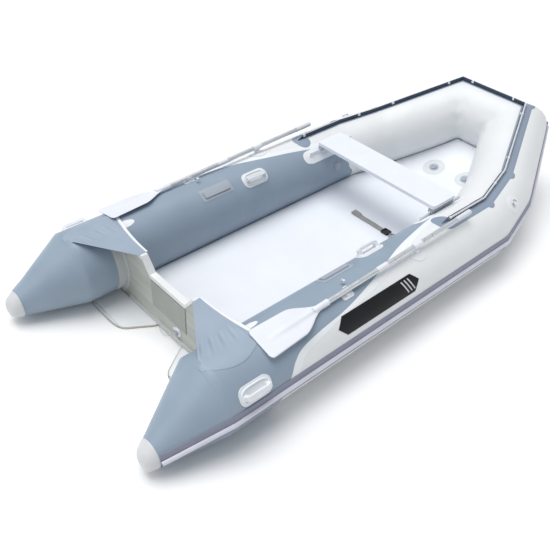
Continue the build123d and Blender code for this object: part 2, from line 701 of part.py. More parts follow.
def oar_clip():
    """Cradle that carries the stowed shaft; it is open above and outboard."""
    angle = degrees(acos(OAR_OFFSET / TUBE_R))
    foot = tube_patch(CLIP_X, angle, RectangleRounded(80, 60, 14), 3.0)
    centre = oar_axis(CLIP_X)
    room = SHAFT_R + 0.6
    sole_top = centre.Z - room
    surface = TUBE_R + sqrt(TUBE_R**2 - OAR_OFFSET**2)
    sole = Pos(CLIP_X, OAR_Y - 3, (surface + sole_top) / 2) * Box(26, 2 * room + 12, sole_top - surface + 6)
    wall = Pos(CLIP_X, OAR_Y - room - 2.5, centre.Z - 4) * Box(26, 5, 2 * room)
    body = sole + wall - along_oar(CLIP_X - 30, CLIP_X + 30, Circle(room))
    sweep_room = Pos(CLIP_X, OAR_Y + 50, centre.Z + 40) * Box(60, 100, 80 + 2 * room)
    plane = Plane(origin=(CLIP_X - 40, SIDE_Y, TUBE_R), x_dir=(0, 1, 0), z_dir=(1, 0, 0))
    body = body - sweep_room - extrude(plane * Circle(TUBE_R + SOFT_GAP), amount=80)
    return foot + body


# ---- fittings -------------------------------------------------------------------------------
def grab_handle(x, angle):
    """Moulded handle: a curved plate with a bar bridged over it."""
    plate = tube_patch(x, angle, RectangleRounded(HANDLE_LENGTH, HANDLE_WIDTH, 40), 4.0)
    half = HANDLE_LENGTH / 2 - 14
    outer = Polyline(
        (-half, 1), (-half + 8, HANDLE_RISE - 8), (-half + 24, HANDLE_RISE), (half - 24, HANDLE_RISE),
        (half - 8, HANDLE_RISE - 8), (half, 1), (half - 24, 1), (half - 28, HANDLE_RISE - 15),
        (-half + 28, HANDLE_RISE - 15), (-half + 24, 1), close=True,
    )
    frame = surface_plane(x, angle)
    side_plane = Plane(origin=frame.origin + frame.y_dir * (HANDLE_BAR / 2), x_dir=(1, 0, 0), z_dir=-frame.y_dir)
    bar = extrude(side_plane * make_face(outer), amount=HANDLE_BAR)
    plane = Plane(origin=(x - 200, SIDE_Y, TUBE_R), x_dir=(0, 1, 0), z_dir=(1, 0, 0))
    return plate + bar - extrude(plane * Circle(TUBE_R + SOFT_GAP), amount=400)


def holder_pads():
    """Raised holders for a second bench position, on rounded patches."""
    x, angle = HOLDER_PAD
    patch = tube_patch(x, angle, RectangleRounded(230, 84, 10), 1.4)
    block = tube_patch(x, angle, RectangleRounded(190, 46, 6), 9.0, SOFT_GAP + 1.0)
    pad = patch + block
    return Compound(children=[pad, mirrored(pad)])


def deck_plane(place):
    """Plane on the deck, which curves up ahead of the rise's start."""
    x, y = place
    reach = x - DECK_RISE_START
    turn = asin(reach / DECK_RISE_RADIUS)
    z = DECK_TOP + DECK_RISE_RADIUS * (1 - cos(turn))
    return Plane(origin=(x, y, z), x_dir=(0, 1, 0), z_dir=(-sin(turn), 0, cos(turn)))


VALVE_BODY_HEIGHT = 5.0


def valve_body(plane, lift):
    return extrude(plane.offset(lift) * Circle(VALVE_R), amount=VALVE_BODY_HEIGHT - lift)


def valve_cap(plane):
    foot = plane.offset(VALVE_BODY_HEIGHT)
    lid = extrude(foot * Circle(VALVE_CAP_R), amount=VALVE_CAP_HEIGHT - 4)
    grip = extrude(foot.offset(VALVE_CAP_HEIGHT - 4) * Rectangle(2 * VALVE_CAP_R - 8, 6), amount=4)
    return lid + grip


def valve_bodies():
    flat_lift = 1.2
    port = valve_body(surface_plane(*TUBE_VALVE), -2.0)
    room = Plane(origin=(TUBE_VALVE[0] - 60, SIDE_Y, TUBE_R), x_dir=(0, 1, 0), z_dir=(1, 0, 0))
    port = port - extrude(room * Circle(TUBE_R + SOFT_GAP), amount=120)
    deck_ones = [valve_body(deck_plane(place), flat_lift) for place in (DECK_VALVE, KEEL_VALVE)]
    return Compound(children=[port, mirrored(port)] + deck_ones)


TOW_SHARE = (TOW_RING_X - BEND_X) / (QUARTER[0] - BEND_X)


def tow_plane(lift=0.0):
    """Plane touching the port quarter tube: local x runs forward along it."""
    direction = leg_direction(1)
    side = outboard(direction)
    rise = direction.cross(side)
    normal = side * cos(radians(TOW_RING_ANGLE)) + rise * sin(radians(TOW_RING_ANGLE))
    centre = LEGS[1][0] + (LEGS[1][1] - LEGS[1][0]) * TOW_SHARE
    return Plane(origin=centre + normal * (TUBE_R + lift), x_dir=direction, z_dir=normal)


RING_LIFT = 10.0


def tow_lug():
    inner = TUBE_R + SOFT_GAP
    shell = leg_solid(1, sector(inner, inner + 2, TOW_RING_ANGLE - 20, TOW_RING_ANGLE + 20))
    disc = shell & extrude(tow_plane(-40) * Circle(56), amount=80)
    lug = extrude(tow_plane(1.0) * RectangleRounded(22, 18, 4), amount=RING_LIFT + 6)
    axis = tow_plane(RING_LIFT)
    bore_plane = Plane(origin=axis.origin - axis.x_dir * 20, z_dir=axis.x_dir)
    return disc + lug - extrude(bore_plane * Circle(RING_WIRE_R + 0.08), amount=40)


def tow_ring():
    """D-ring: a straight bar in the lug and a half round hanging down the tube."""
    axis = tow_plane(RING_LIFT)
    loop = axis * Torus(RING_R, RING_WIRE_R)
    half = split(loop, bisect_by=Plane(origin=axis.origin, z_dir=axis.y_dir), keep=Keep.BOTTOM)
    bar_plane = Plane(origin=axis.origin - axis.x_dir * RING_R, z_dir=axis.x_dir)
    return half + extrude(bar_plane * Circle(RING_WIRE_R), amount=2 * RING_R)


def reinforcement_patches():
    """White patches: at the gussets' forward corners and under the tow rings."""
    teardrop = tube_patch(TRANSOM_X + 92, 110, Ellipse(62, 24), 1.4)
    lug = tow_lug()
    return Compound(children=[teardrop, mirrored(teardrop), lug, mirrored(lug)])


def side_panels():
    """Plain dark panels with pointed ends, outboard on both side tubes."""
    half = (PANEL_END - PANEL_START) / 2
    corners = [(-half, 0), (-half + 50, 52), (half - 50, 52), (half, 0), (half - 50, -52), (-half + 50, -52)]
    outline = make_face(Polyline(*corners, close=True))
    panel = tube_patch((PANEL_START + PANEL_END) / 2, PANEL_ANGLE, outline, 0.8)
    return Compound(children=[panel, mirrored(panel)])


def floor_strap():
    level = DECK_TOP + SOFT_GAP
    flat = Pos(STRAP_X, -35, level + 1) * Box(STRAP_WIDTH, 270, 2)
    fold = Pos(STRAP_X + 6, 60, level + 3.2) * Rot(0, 0, 8) * Box(STRAP_WIDTH, 110, 2)
    return Compound(children=[flat, fold])


def strap_buckle():
    level = DECK_TOP + SOFT_GAP
    body = Pos(STRAP_X, -199, level + 6) * Box(50, 56, 12)
    slot = Pos(STRAP_X, -185, level + 6) * Box(40, 10, 14)
    return fillet(body.edges().filter_by(Axis.Z), 8) - slot


def strap_anchor():
    level = DECK_TOP + SOFT_GAP
    base = Pos(STRAP_X, -262, level + 1) * Cylinder(34, 2)
    ring = Pos(STRAP_X, -249, level + 5.5) * Torus(18, 3)
    return base + ring


# ---- write the pieces -----------------------------------------------------------------------
def both_sides(name, shape):
    return {f"{name}_port": shape, f"{name}_starboard": mirrored(shape)}


def all_parts():
    parts = both_sides("tube_side", side_tube())
    parts |= both_sides("tube_quarter", leg_solid(1, Circle(TUBE_R)))
    parts |= both_sides("tube_bow", leg_solid(2, Circle(TUBE_R)))
    parts["tube_front"] = leg_solid(3, Circle(TUBE_R))
    cap = cone_cap()
    parts["cone_caps"] = Compound(children=[cap, mirrored(cap)])
    parts["air_deck"] = deck()
    parts["keel_tube"] = keel()
    parts["bottom_skin"] = bottom_skin()
    apron = stern_apron()
    parts["stern_aprons"] = Compound(children=[apron, mirrored(apron)])
    parts["transom_board"] = transom_board()
    parts["transom_cap"] = transom_cap()
    parts["transom_flanges"] = transom_flanges()
    parts["motor_pad"] = motor_pad()
    parts["drain_body"] = drain_body()
    parts["drain_plug"] = drain_plug()
    parts["plug_lanyard"] = plug_lanyard()
    parts |= both_sides("gusset", gusset())
    parts["reinforcement_patches"] = reinforcement_patches()
    parts["rub_rail_base"] = rail_base()
    parts["rub_rail_rib"] = rail_rib()
    parts["ridge_base"] = ridge_base()
    parts["spray_flap"] = spray_flap()
    parts["lifeline"] = lifeline()
    parts["rope_eyelets"] = rope_eyelets()
    parts["seat_board"] = seat_board()
    parts["seat_rails"] = seat_rails()
    parts["seat_hooks"] = seat_hooks()
    parts |= both_sides("oar_shaft", oar_shaft())
    parts |= both_sides("oar_grip", oar_grip())
    parts |= both_sides("oar_blade", oar_blade())
    parts |= both_sides("oar_collar", oar_collar())
    parts |= both_sides("rowlock_base", rowlock_base())
    clip = oar_clip()
    parts["oar_clips"] = Compound(children=[clip, mirrored(clip)])
    parts |= both_sides("handle_aft", grab_handle(*AFT_HANDLE))
    parts |= both_sides("handle_inner", grab_handle(*INNER_HANDLE))
    parts["holder_pads"] = holder_pads()
    parts["valve_bodies"] = valve_bodies()
    parts |= both_sides("valve_cap", valve_cap(surface_plane(*TUBE_VALVE)))
    parts["valve_cap_deck"] = valve_cap(deck_plane(DECK_VALVE))
    parts["valve_cap_keel"] = valve_cap(deck_plane(KEEL_VALVE))
    parts |= both_sides("tow_ring", tow_ring())
    parts["side_panels"] = side_panels()
    parts["floor_strap"] = floor_strap()
    parts["strap_buckle"] = strap_buckle()
    parts["strap_anchor"] = strap_anchor()
    return parts


HULL_LENGTH = SHOULDER[0] + TUBE_R + RAIL_FACE + RIB_GAP + RAIL_RIB_R

os.makedirs("parts", exist_ok=True)
for part_name, part_shape in all_parts().items():
    export_step(Pos(-HULL_LENGTH / 2, 0, 0) * solids_of(part_shape), f"parts/{part_name}.step")
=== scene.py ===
"""Looks of an inflatable dinghy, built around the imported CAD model.

Metres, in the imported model's frame: +X to the bow, +Y to port, +Z up. Lengths along the hull are
counted forward from the stern ends of the side tubes and shifted to the frame by at().
Angles round a tube: 0 is outboard, 90 is up and 180 is inboard.
"""
import math

import bmesh
import bpy
import numpy as np
from mathutils import Matrix, Vector, noise


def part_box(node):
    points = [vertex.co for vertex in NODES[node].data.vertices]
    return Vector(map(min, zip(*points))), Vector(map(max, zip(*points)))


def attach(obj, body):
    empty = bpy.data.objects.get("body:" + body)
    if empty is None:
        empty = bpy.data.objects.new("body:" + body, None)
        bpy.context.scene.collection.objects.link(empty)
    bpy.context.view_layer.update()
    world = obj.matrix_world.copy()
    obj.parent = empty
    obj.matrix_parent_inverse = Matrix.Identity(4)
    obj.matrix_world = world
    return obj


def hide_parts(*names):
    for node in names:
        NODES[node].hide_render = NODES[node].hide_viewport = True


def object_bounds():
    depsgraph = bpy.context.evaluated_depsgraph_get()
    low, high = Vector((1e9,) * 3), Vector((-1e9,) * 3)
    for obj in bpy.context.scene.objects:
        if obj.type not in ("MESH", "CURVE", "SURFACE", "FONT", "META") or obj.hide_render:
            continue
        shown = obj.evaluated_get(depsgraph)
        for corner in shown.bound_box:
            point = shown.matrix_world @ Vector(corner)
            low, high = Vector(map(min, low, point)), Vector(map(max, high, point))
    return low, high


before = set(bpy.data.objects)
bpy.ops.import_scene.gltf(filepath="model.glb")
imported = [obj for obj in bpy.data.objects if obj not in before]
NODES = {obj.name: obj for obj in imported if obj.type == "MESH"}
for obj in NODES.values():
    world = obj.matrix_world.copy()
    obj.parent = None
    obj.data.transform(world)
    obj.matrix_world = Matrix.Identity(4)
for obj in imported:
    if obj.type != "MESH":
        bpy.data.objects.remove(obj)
CAD_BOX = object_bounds()
HULL = "hull"
UP = Vector((0, 0, 1))
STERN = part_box("cone_caps")[0].x        # where the stern ends lie in the frame

# ---- the hull's own sizes, as in the CAD source ----
TUBE_R = 0.215
SIDE_Y = 0.612
CONE_START = 0.389
CONE_END = 0.020
TIP_R, TIP_Y, TIP_Z = 0.058, 0.650, 0.099
BEND = 2.545
PORT_POINTS = [
    (CONE_START, SIDE_Y, TUBE_R), (BEND, SIDE_Y, TUBE_R), (2.895, 0.517, 0.252), (3.455, 0.227, 0.425),
]
DECK_TOP = 0.105
DECK_RISE_START, DECK_RISE_RADIUS = 2.550, 1.575
SKIN_INSET, SKIN_RISE_RADIUS = 0.035, 2.197
TRANSOM = 0.620
RIDGE_START, RIDGE_OUT, RIDGE_IN, RIDGE_TOP = 2.105, 17.0, 3.5, 0.0020
FLAP_START, FLAP_HEIGHT, FLAP_HALF_THICK, FLAP_SLANT = 2.140, 0.030, 0.0015, 0.060
ROPE_START, ROPE_VISIBLE_R, ROPE_HEIGHT, ROPE_OUT = 2.195, 0.0062, 0.022, 0.0084
BLADE_TIP, BLADE_ROOT, BLADE_WIDTH = 0.670, 1.070, 0.190
OAR_X, OAR_Y, OAR_Z = 1.818, 0.676, 0.4645     # a point on the stowed shaft's middle line
OAR_SLOPE = (OAR_Z - 0.447) / (OAR_X - 1.257)
SIDES = (("port", 1), ("starboard", -1))
SKIN_GAP = 0.0004                              # how far glued pieces stand off what is under them


def at(x, y, z):
    """A point given from the stern, in the frame."""
    return Vector((STERN + x, y, z))


def held(value):
    """The value, kept from 0 to 1."""
    return max(0.0, min(1.0, value))


def arch(t):
    """Height of a unit half circle at t from its middle, 0 beyond its ends."""
    return math.sqrt(max(0.0, 1 - t * t))


# ---- path of the tubes ----
PATH = [at(*p) for p in PORT_POINTS] + [at(p[0], -p[1], p[2]) for p in reversed(PORT_POINTS)]
LEGS = list(zip(PATH[:-1], PATH[1:]))
MIDDLE_LEG = len(LEGS) // 2


def leg_direction(leg):
    start, end = LEGS[leg]
    return (end - start).normalized()


def outboard(direction):
    return UP.cross(direction).normalized()


def mitre_normal(joint):
    """Normal of the plane between two legs; the outermost joints are square to their tube."""
    if joint == 0:
        return leg_direction(0)
    if joint == len(LEGS):
        return leg_direction(len(LEGS) - 1)
    return (leg_direction(joint - 1) + leg_direction(joint)).normalized()


def joint_twist(joint):
    """How far a line along the tube turns when it passes a joint, in radians."""
    before, after = leg_direction(joint - 1), leg_direction(joint)
    normal = mitre_normal(joint)
    point = LEGS[joint - 1][0] + before.cross(outboard(before)) * TUBE_R
    point = point + before * ((PATH[joint] - point).dot(normal) / before.dot(normal))
    arm = point - PATH[joint]
    side = outboard(after)
    return math.atan2(arm.dot(after.cross(side)), arm.dot(side)) - math.pi / 2


TWISTS = [0.0] + [joint_twist(joint) for joint in range(1, len(LEGS))] + [0.0]


def hull_arm(leg, share, angle):
    """Unit vector out of the tube, a share of the way along a leg; the angle is in degrees."""
    first, last = TWISTS[leg] / 2, -TWISTS[leg + 1] / 2
    turned = math.radians(angle) + first + (last - first) * share
    direction = leg_direction(leg)
    side = outboard(direction)
    return side * math.cos(turned) + direction.cross(side) * math.sin(turned)


def hull_point(leg, share, angle, lift):
    """Point above the tube. Lines along a leg run from one mitre plane to the other."""
    start, end = LEGS[leg]
    direction = leg_direction(leg)
    reach = []
    for step, place in ((0, start), (1, end)):
        foot = place + hull_arm(leg, step, angle) * (TUBE_R + lift)
        normal = mitre_normal(leg + step)
        reach.append((place - foot).dot(normal) / direction.dot(normal))
    along = (end - start).length * share + reach[0] + (reach[1] - reach[0]) * share
    return start + direction * along + hull_arm(leg, share, angle) * (TUBE_R + lift)


def share_at(x):
    """Share of the side tube's straight run at a length from the stern."""
    return (x - CONE_START) / (BEND - CONE_START)


def side_point(x, angle, lift=0.0):
    """Point above the port side tube, at a length from the stern."""
    turn = math.radians(angle)
    reach = TUBE_R + lift
    return at(x, SIDE_Y + reach * math.cos(turn), TUBE_R + reach * math.sin(turn))


def circle(centre, radius, count, start=0.0):
    """Points of a ring that stands square to the hull's length."""
    turns = (math.radians(start + 360 * k / count) for k in range(count))
    return [centre + Vector((0, math.cos(a), math.sin(a))) * radius for a in turns]


def cone_section(x):
    """Centre and radius of the port cone at a length from the stern."""
    share = (CONE_START - x) / (CONE_START - CONE_END)
    centre = at(x, SIDE_Y + (TIP_Y - SIDE_Y) * share, TUBE_R + (TIP_Z - TUBE_R) * share)
    return centre, TUBE_R + (TIP_R - TUBE_R) * share


def crown_point(x, angle, lift):
    """Point above the port tube or its cone."""
    if x >= CONE_START:
        return side_point(x, angle, lift)
    centre, radius = cone_section(x)
    turn = math.radians(angle)
    return centre + Vector((0, math.cos(turn), math.sin(turn))) * (radius + lift)


# ---- meshes ----
def link(obj):
    bpy.context.scene.collection.objects.link(obj)
    return obj


def mesh_object(name, points, faces, material):
    mesh = bpy.data.meshes.new(name)
    mesh.from_pydata([tuple(p) for p in points], [], faces)
    mesh.materials.append(material)
    mesh.shade_smooth()
    mesh.update()
    return link(bpy.data.objects.new(name, mesh))


def grid_faces(rows, columns, closed=False):
    """Quads between rows of points; closed joins the last column to the first."""
    last = columns if closed else columns - 1
    return [
        (r * columns + c, r * columns + (c + 1) % columns,
         (r + 1) * columns + (c + 1) % columns, (r + 1) * columns + c)
        for r in range(rows - 1) for c in range(last)
    ]


def grid_object(name, rows, material, closed=False):
    """Mesh through rows of points, with UVs in metres along and across."""
    columns = len(rows[0])
    faces = grid_faces(len(rows), columns, closed)
    obj = mesh_object(name, [p for row in rows for p in row], faces, material)
    add_uv(obj, rows, columns, closed)
    return obj


def add_uv(obj, rows, columns, closed):
    layer = obj.data.uv_layers.new(name="cut")
    along = [0.0]
    for near, far in zip(rows, rows[1:]):
        along.append(along[-1] + (Vector(far[columns // 2]) - Vector(near[columns // 2])).length)
    across = [0.0]
    middle = rows[len(rows) // 2]
    for c in range(columns if closed else columns - 1):
        across.append(across[-1] + (Vector(middle[(c + 1) % columns]) - Vector(middle[c])).length)
    spots = []
    for r in range(len(rows) - 1):
        for c in range(columns if closed else columns - 1):
            spots += [(along[r], across[c]), (along[r], across[c + 1]),
                      (along[r + 1], across[c + 1]), (along[r + 1], across[c])]
    layer.data.foreach_set("uv", np.array(spots, np.float32).ravel())


def cleaned(obj, merge=1e-5):
    """Joins doubled points and turns every face outwards."""
    work = bmesh.new()
    work.from_mesh(obj.data)
    bmesh.ops.remove_doubles(work, verts=work.verts, dist=merge)
    bmesh.ops.recalc_face_normals(work, faces=work.faces)
    work.to_mesh(obj.data)
    work.free()
    obj.data.update()
    return obj


def flipped(points):
    return [Vector((p[0], -p[1], p[2])) for p in points]


def both_sides(rows):
    """The port rows, and the same for starboard with the faces still outwards."""
    return ("port", rows), ("starboard", [flipped(reversed(row)) for row in rows])


def applied(obj):
    """The object with its modifiers worked into its mesh."""
    evaluated = obj.evaluated_get(bpy.context.evaluated_depsgraph_get())
    mesh = bpy.data.meshes.new_from_object(evaluated)
    mesh.name = obj.name
    obj.modifiers.clear()
    obj.data = mesh
    return obj


def softened_copy(node, name, material, voxel, smoothing):
    """A CAD solid's own copy with an even mesh and rounded edges."""
    obj = link(bpy.data.objects.new(name, NODES[node].data.copy()))
    obj.data.materials.clear()
    obj.data.materials.append(material)
    remesh = obj.modifiers.new("remesh", "REMESH")
    remesh.mode, remesh.voxel_size = "VOXEL", voxel
    smooth = obj.modifiers.new("smooth", "SMOOTH")
    smooth.factor, smooth.iterations = 0.5, smoothing
    applied(obj)
    obj.data.shade_smooth()
    return obj


def thicken(obj, thickness, offset=-1.0):
    solid = obj.modifiers.new("thickness", "SOLIDIFY")
    solid.thickness, solid.offset = thickness, offset
    return obj


def rounded(obj, width, segments=3, angle=32):
    bevel = obj.modifiers.new("rounding", "BEVEL")
    bevel.width, bevel.segments = width, segments
    bevel.limit_method, bevel.angle_limit = "ANGLE", math.radians(angle)
    bevel.harden_normals = False
    return obj


def install(obj, slot, *nodes, body=HULL):
    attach(obj, body)
    if nodes:
        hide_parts(*nodes)
    return obj


# ---- materials ----
def linear(rgb):
    """Scene colour of an 8-bit display colour."""
    return tuple((c / 255 / 12.92) if c < 10 else ((c / 255 + 0.055) / 1.055) ** 2.4 for c in rgb)


class Paint:
    """A material under construction: short calls for the few node kinds used here."""

    def __init__(self, name, roughness=0.5, specular=0.5, coat=0.0, metallic=0.0):
        self.material = bpy.data.materials.new(name)
        self.material.use_nodes = True
        self.tree = self.material.node_tree
        self.shader = self.tree.nodes["Principled BSDF"]
        self.shader.inputs["Roughness"].default_value = roughness
        self.shader.inputs["Specular IOR Level"].default_value = specular
        self.shader.inputs["Coat Weight"].default_value = coat
        self.shader.inputs["Coat Roughness"].default_value = 0.25
        self.shader.inputs["Metallic"].default_value = metallic
        self.place = self.node("ShaderNodeTexCoord").outputs["Object"]
        self.cut = self.tree.nodes[-1].outputs["UV"]

    def node(self, kind, **settings):
        made = self.tree.nodes.new(kind)
        for key, value in settings.items():
            setattr(made, key, value)
        return made

    def feed(self, socket, value):
        if isinstance(value, bpy.types.NodeSocket):
            self.tree.links.new(value, socket)
        else:
            socket.default_value = value

    def math(self, operation, *values, clamp=False):
        made = self.node("ShaderNodeMath", operation=operation, use_clamp=clamp)
        for socket, value in zip(made.inputs, values):
            self.feed(socket, value)
        return made.outputs[0]

    def noise(self, scale, detail=3.0, stretch=(1, 1, 1), source=None):
        mapping = self.node("ShaderNodeMapping")
        self.feed(mapping.inputs["Vector"], source or self.place)
        mapping.inputs["Scale"].default_value = stretch
        made = self.node("ShaderNodeTexNoise")
        self.feed(made.inputs["Vector"], mapping.outputs[0])
        made.inputs["Scale"].default_value = scale
        made.inputs["Detail"].default_value = detail
        return made.outputs["Fac"]

    def waves(self, pitch, axis="X", source=None):
        """Even ridges, one every pitch metres along an axis."""
        made = self.node("ShaderNodeTexWave", wave_type="BANDS", bands_direction=axis)
        self.feed(made.inputs["Vector"], source or self.place)
        made.inputs["Scale"].default_value = 0.314159 / pitch
        return made.outputs["Fac"]

    def mix(self, share, low, high):
        made = self.node("ShaderNodeMix", data_type="RGBA")
        colours = [s for s in made.inputs if s.type == "RGBA"]
        self.feed(made.inputs[0], share)
        for socket, value in zip(colours, (low, high)):
            self.feed(socket, value if isinstance(value, bpy.types.NodeSocket) else (*value, 1.0))
        return [s for s in made.outputs if s.type == "RGBA"][0]

    def span(self, value, low, high, to_low=0.0, to_high=1.0):
        """Value taken from one range to another, held at the ends."""
        made = self.node("ShaderNodeMapRange")
        for key, number in (("Value", value), ("From Min", low), ("From Max", high),
                            ("To Min", to_low), ("To Max", to_high)):
            self.feed(made.inputs[key], number)
        return made.outputs[0]

    def split(self, source=None):
        made = self.node("ShaderNodeSeparateXYZ")
        self.feed(made.inputs[0], source or self.place)
        return made.outputs

    def bump(self, height, distance, strength=1.0):
        """Adds a height, in metres times distance, on top of the bumps already there."""
        made = self.node("ShaderNodeBump")
        made.inputs["Strength"].default_value = strength
        made.inputs["Distance"].default_value = distance
        self.feed(made.inputs["Height"], height)
        normal = self.shader.inputs["Normal"]
        if normal.is_linked:
            self.feed(made.inputs["Normal"], normal.links[0].from_socket)
        self.feed(normal, made.outputs[0])

    def colour(self, value):
        self.feed(self.shader.inputs["Base Color"], value)

    def rough(self, low, high, scale=14.0):
        self.feed(self.shader.inputs["Roughness"], self.span(self.noise(scale, 4), 0.3, 0.7, low, high))

    def gap(self, value, place):
        """Distance of a value from a place, without its sign."""
        return self.math("ABSOLUTE", self.math("SUBTRACT", value, place))

    def mottled(self, rgb, amount=0.05, scale=5.0, source=None):
        """The colour, a little lighter and darker in soft patches."""
        base = linear(rgb)
        share = self.span(self.noise(scale, 4, source=source), 0.3, 0.7)
        return self.mix(share, tuple(c * (1 - amount) for c in base),
                        tuple(min(1.0, c * (1 + amount)) for c in base))


def coated_fabric(name, rgb, roughness=0.42, amount=0.05, crease=0.0):
    """PVC-coated cloth: soft mottling, a fine embossed weave and faint handling marks."""
    paint = Paint(name, roughness, 0.45, coat=0.06)
    paint.colour(paint.mottled(rgb, amount))
    paint.rough(roughness - 0.06, roughness + 0.08)
    weave_in_coat(paint)
    if crease:
        paint.bump(paint.noise(7, 5, (1, 2.2, 2.2)), crease, 0.6)
    return paint


def weave_in_coat(paint):
    """The cloth's threads showing faintly through its coating."""
    paint.bump(paint.noise(900, 2), 0.00012, 0.35)
    paint.bump(paint.noise(90, 3), 0.0004, 0.25)


def moulded(name, rgb, roughness=0.38, amount=0.03, grain=0.00015):
    """Moulded plastic or rubber, with a fine spark-eroded grain."""
    paint = Paint(name, roughness, 0.5)
    paint.colour(paint.mottled(rgb, amount, 9))
    paint.rough(roughness - 0.05, roughness + 0.07, 22)
    paint.bump(paint.noise(1500, 2), grain, 0.4)
    return paint


GRAY = (146, 162, 178)
WHITE = (238, 241, 244)
PALE = (232, 234, 235)

ROPE_STRAND = 0.0047                # spacing of the rope's strands
WEBBING_PITCH = (0.0026, 0.0034)    # the strap's threads, along and across

# Edge between the gray and white panels of a side tube: angle, length from the stern.
PANEL_EDGE = [
    (-180, 2.452), (-166, 2.492), (-152, 2.50), (-128, 1.60), (-110, 0.92), (-90, 0.71), (-45, 0.700),
    (-2, 0.722), (20, 0.765), (33, 0.805), (41.5, 0.860), (48, 0.985), (54.4, 1.19), (62, 1.33),
    (75, 1.52), (96, 1.783), (110, 2.02), (124, 2.24), (134, 2.335), (150, 2.388), (164, 2.418),
    (176, 2.444),
]
BAND_WIDTH, BAND_SLANT_LIMIT = 0.050, 3.4
EDGE_LENGTH = 4.0       # the edge curve's full height, in metres
EDGE_BLUR = 0.0008
SEAMS, SEAM_HALF = (CONE_START - 0.012, 1.46, BEND - 0.02), 0.011


def band_edge():
    """The white band's forward edge: the panel edge moved forward square to itself."""
    moved = []
    for k, (angle, x) in enumerate(PANEL_EDGE):
        before, after = PANEL_EDGE[max(k - 1, 0)], PANEL_EDGE[min(k + 1, len(PANEL_EDGE) - 1)]
        run = (after[1] - before[1]) / (math.radians(after[0] - before[0]) * TUBE_R)
        moved.append((angle, x + BAND_WIDTH * min(math.hypot(1, run), BAND_SLANT_LIMIT)))
    return moved


def edge_curve(paint, angle_share, points):
    """Length from the stern of an edge on the tube, for an angle from 0 to 1 for a full turn."""
    made = paint.node("ShaderNodeFloatCurve")
    curve = made.mapping.curves[0]
    spots = [((a + 180) / 360, x / EDGE_LENGTH) for a, x in points]
    spots = [(0.0, spots[0][1])] + spots + [(1.0, spots[-1][1])]
    while len(curve.points) < len(spots):
        curve.points.new(0.5, 0.5)
    for point, (u, v) in zip(curve.points, spots):
        point.location = (u, v)
        point.handle_type = "AUTO_CLAMPED"
    made.mapping.update()
    paint.feed(made.inputs["Value"], angle_share)
    return paint.math("MULTIPLY", made.outputs[0], EDGE_LENGTH)


def side_tube_material():
    """Gray stern, bright band and pale forward part, with the seams of the panels."""
    paint = Paint("side_tube_fabric", 0.42, 0.45, coat=0.06)
    x, y, z = paint.split()
    out = paint.math("SUBTRACT", paint.math("ABSOLUTE", y), SIDE_Y)
    rise = paint.math("SUBTRACT", z, TUBE_R)
    turn = paint.math("ARCTAN2", rise, out)
    share = paint.math("ADD", paint.math("DIVIDE", turn, 2 * math.pi), 0.5)
    along = paint.math("SUBTRACT", x, STERN)
    to_gray = paint.math("SUBTRACT", along, edge_curve(paint, share, PANEL_EDGE))
    to_band = paint.math("SUBTRACT", along, edge_curve(paint, share, band_edge()))
    past_gray = paint.span(to_gray, -EDGE_BLUR, EDGE_BLUR)
    past_band = paint.span(to_band, -EDGE_BLUR, EDGE_BLUR)
    forward = paint.mix(past_band, paint.mottled(WHITE, 0.02), paint.mottled(PALE, 0.02))
    paint.colour(paint.mix(past_gray, paint.mottled(GRAY, 0.05), forward))
    paint.rough(0.36, 0.50)
    weave_in_coat(paint)
    paint.bump(paint.math("SUBTRACT", past_gray, past_band), 0.0007)
    for seam in SEAMS:
        paint.bump(paint.span(paint.gap(along, seam), SEAM_HALF, SEAM_HALF + 0.0015, 1.0, 0.0), 0.0006)
    paint.bump(paint.noise(5, 4, (0.7, 2.4, 2.4)), 0.0035, 0.35)
    return paint.material


def pale_tube_material():
    """Pale fabric of the bow, taut and slightly uneven."""
    paint = coated_fabric("pale_tube_fabric", PALE, 0.44, 0.02)
    paint.bump(paint.noise(6, 4), 0.0035, 0.4)
    return paint.material


DECK_LINE = 0.402       # where the deck's top meets its rounded sides


def deck_material():
    """White floor fabric with the welded lines where its top meets its rounded sides."""
    paint = coated_fabric("deck_cloth", (234, 237, 243), 0.5, 0.02)
    side = paint.math("ABSOLUTE", paint.split()[1])
    paint.bump(paint.span(paint.gap(side, DECK_LINE), 0.0, 0.006, 0.0, 1.0), 0.0012, 0.5)
    paint.bump(paint.noise(4, 4), 0.005, 0.3)
    return paint.material


def flap_material():
    """Colour of the spray flap's inboard face: the rubber's own navy, darkened with painted shade."""
    paint = Paint("flap_rubber_painted_shade", 0.5, 0.4)
    # dark navy: partly the rubber's colour, partly painted shade on the inboard face
    paint.colour(paint.mottled((58, 72, 92), 0.10, 12))
    paint.bump(paint.noise(700, 2), 0.0002, 0.4)
    return paint.material


def rail_material(name, rgb):
    """Extruded rubber with fine lines along its length."""
    paint = moulded(name, rgb, 0.42, 0.05)
    paint.bump(paint.waves(0.006, "Z"), 0.0004, 0.35)
    return paint.material


def rope_material():
    """White cord with its strands crossing both ways; the grooves between strands are painted darker as
    painted shade.
    """
    paint = Paint("braided_rope", 0.75, 0.25)
    paint.shader.inputs["Sheen Weight"].default_value = 0.25
    u, v = paint.split(paint.cut)[:2]
    strands = []
    for sign in ("ADD", "SUBTRACT"):
        turn = paint.math(sign, paint.math("MULTIPLY", u, 0.9), v)
        strands.append(paint.math("SINE", paint.math("MULTIPLY", turn, 2 * math.pi / ROPE_STRAND)))
    weave = paint.math("MAXIMUM", *strands)
    # darker in the grooves between strands: painted shade
    shade = paint.span(weave, -0.6, 1.0)
    paint.colour(paint.mix(shade, linear((178, 182, 186)), linear((246, 247, 248))))
    paint.bump(weave, 0.0006, 0.8)
    return paint.material


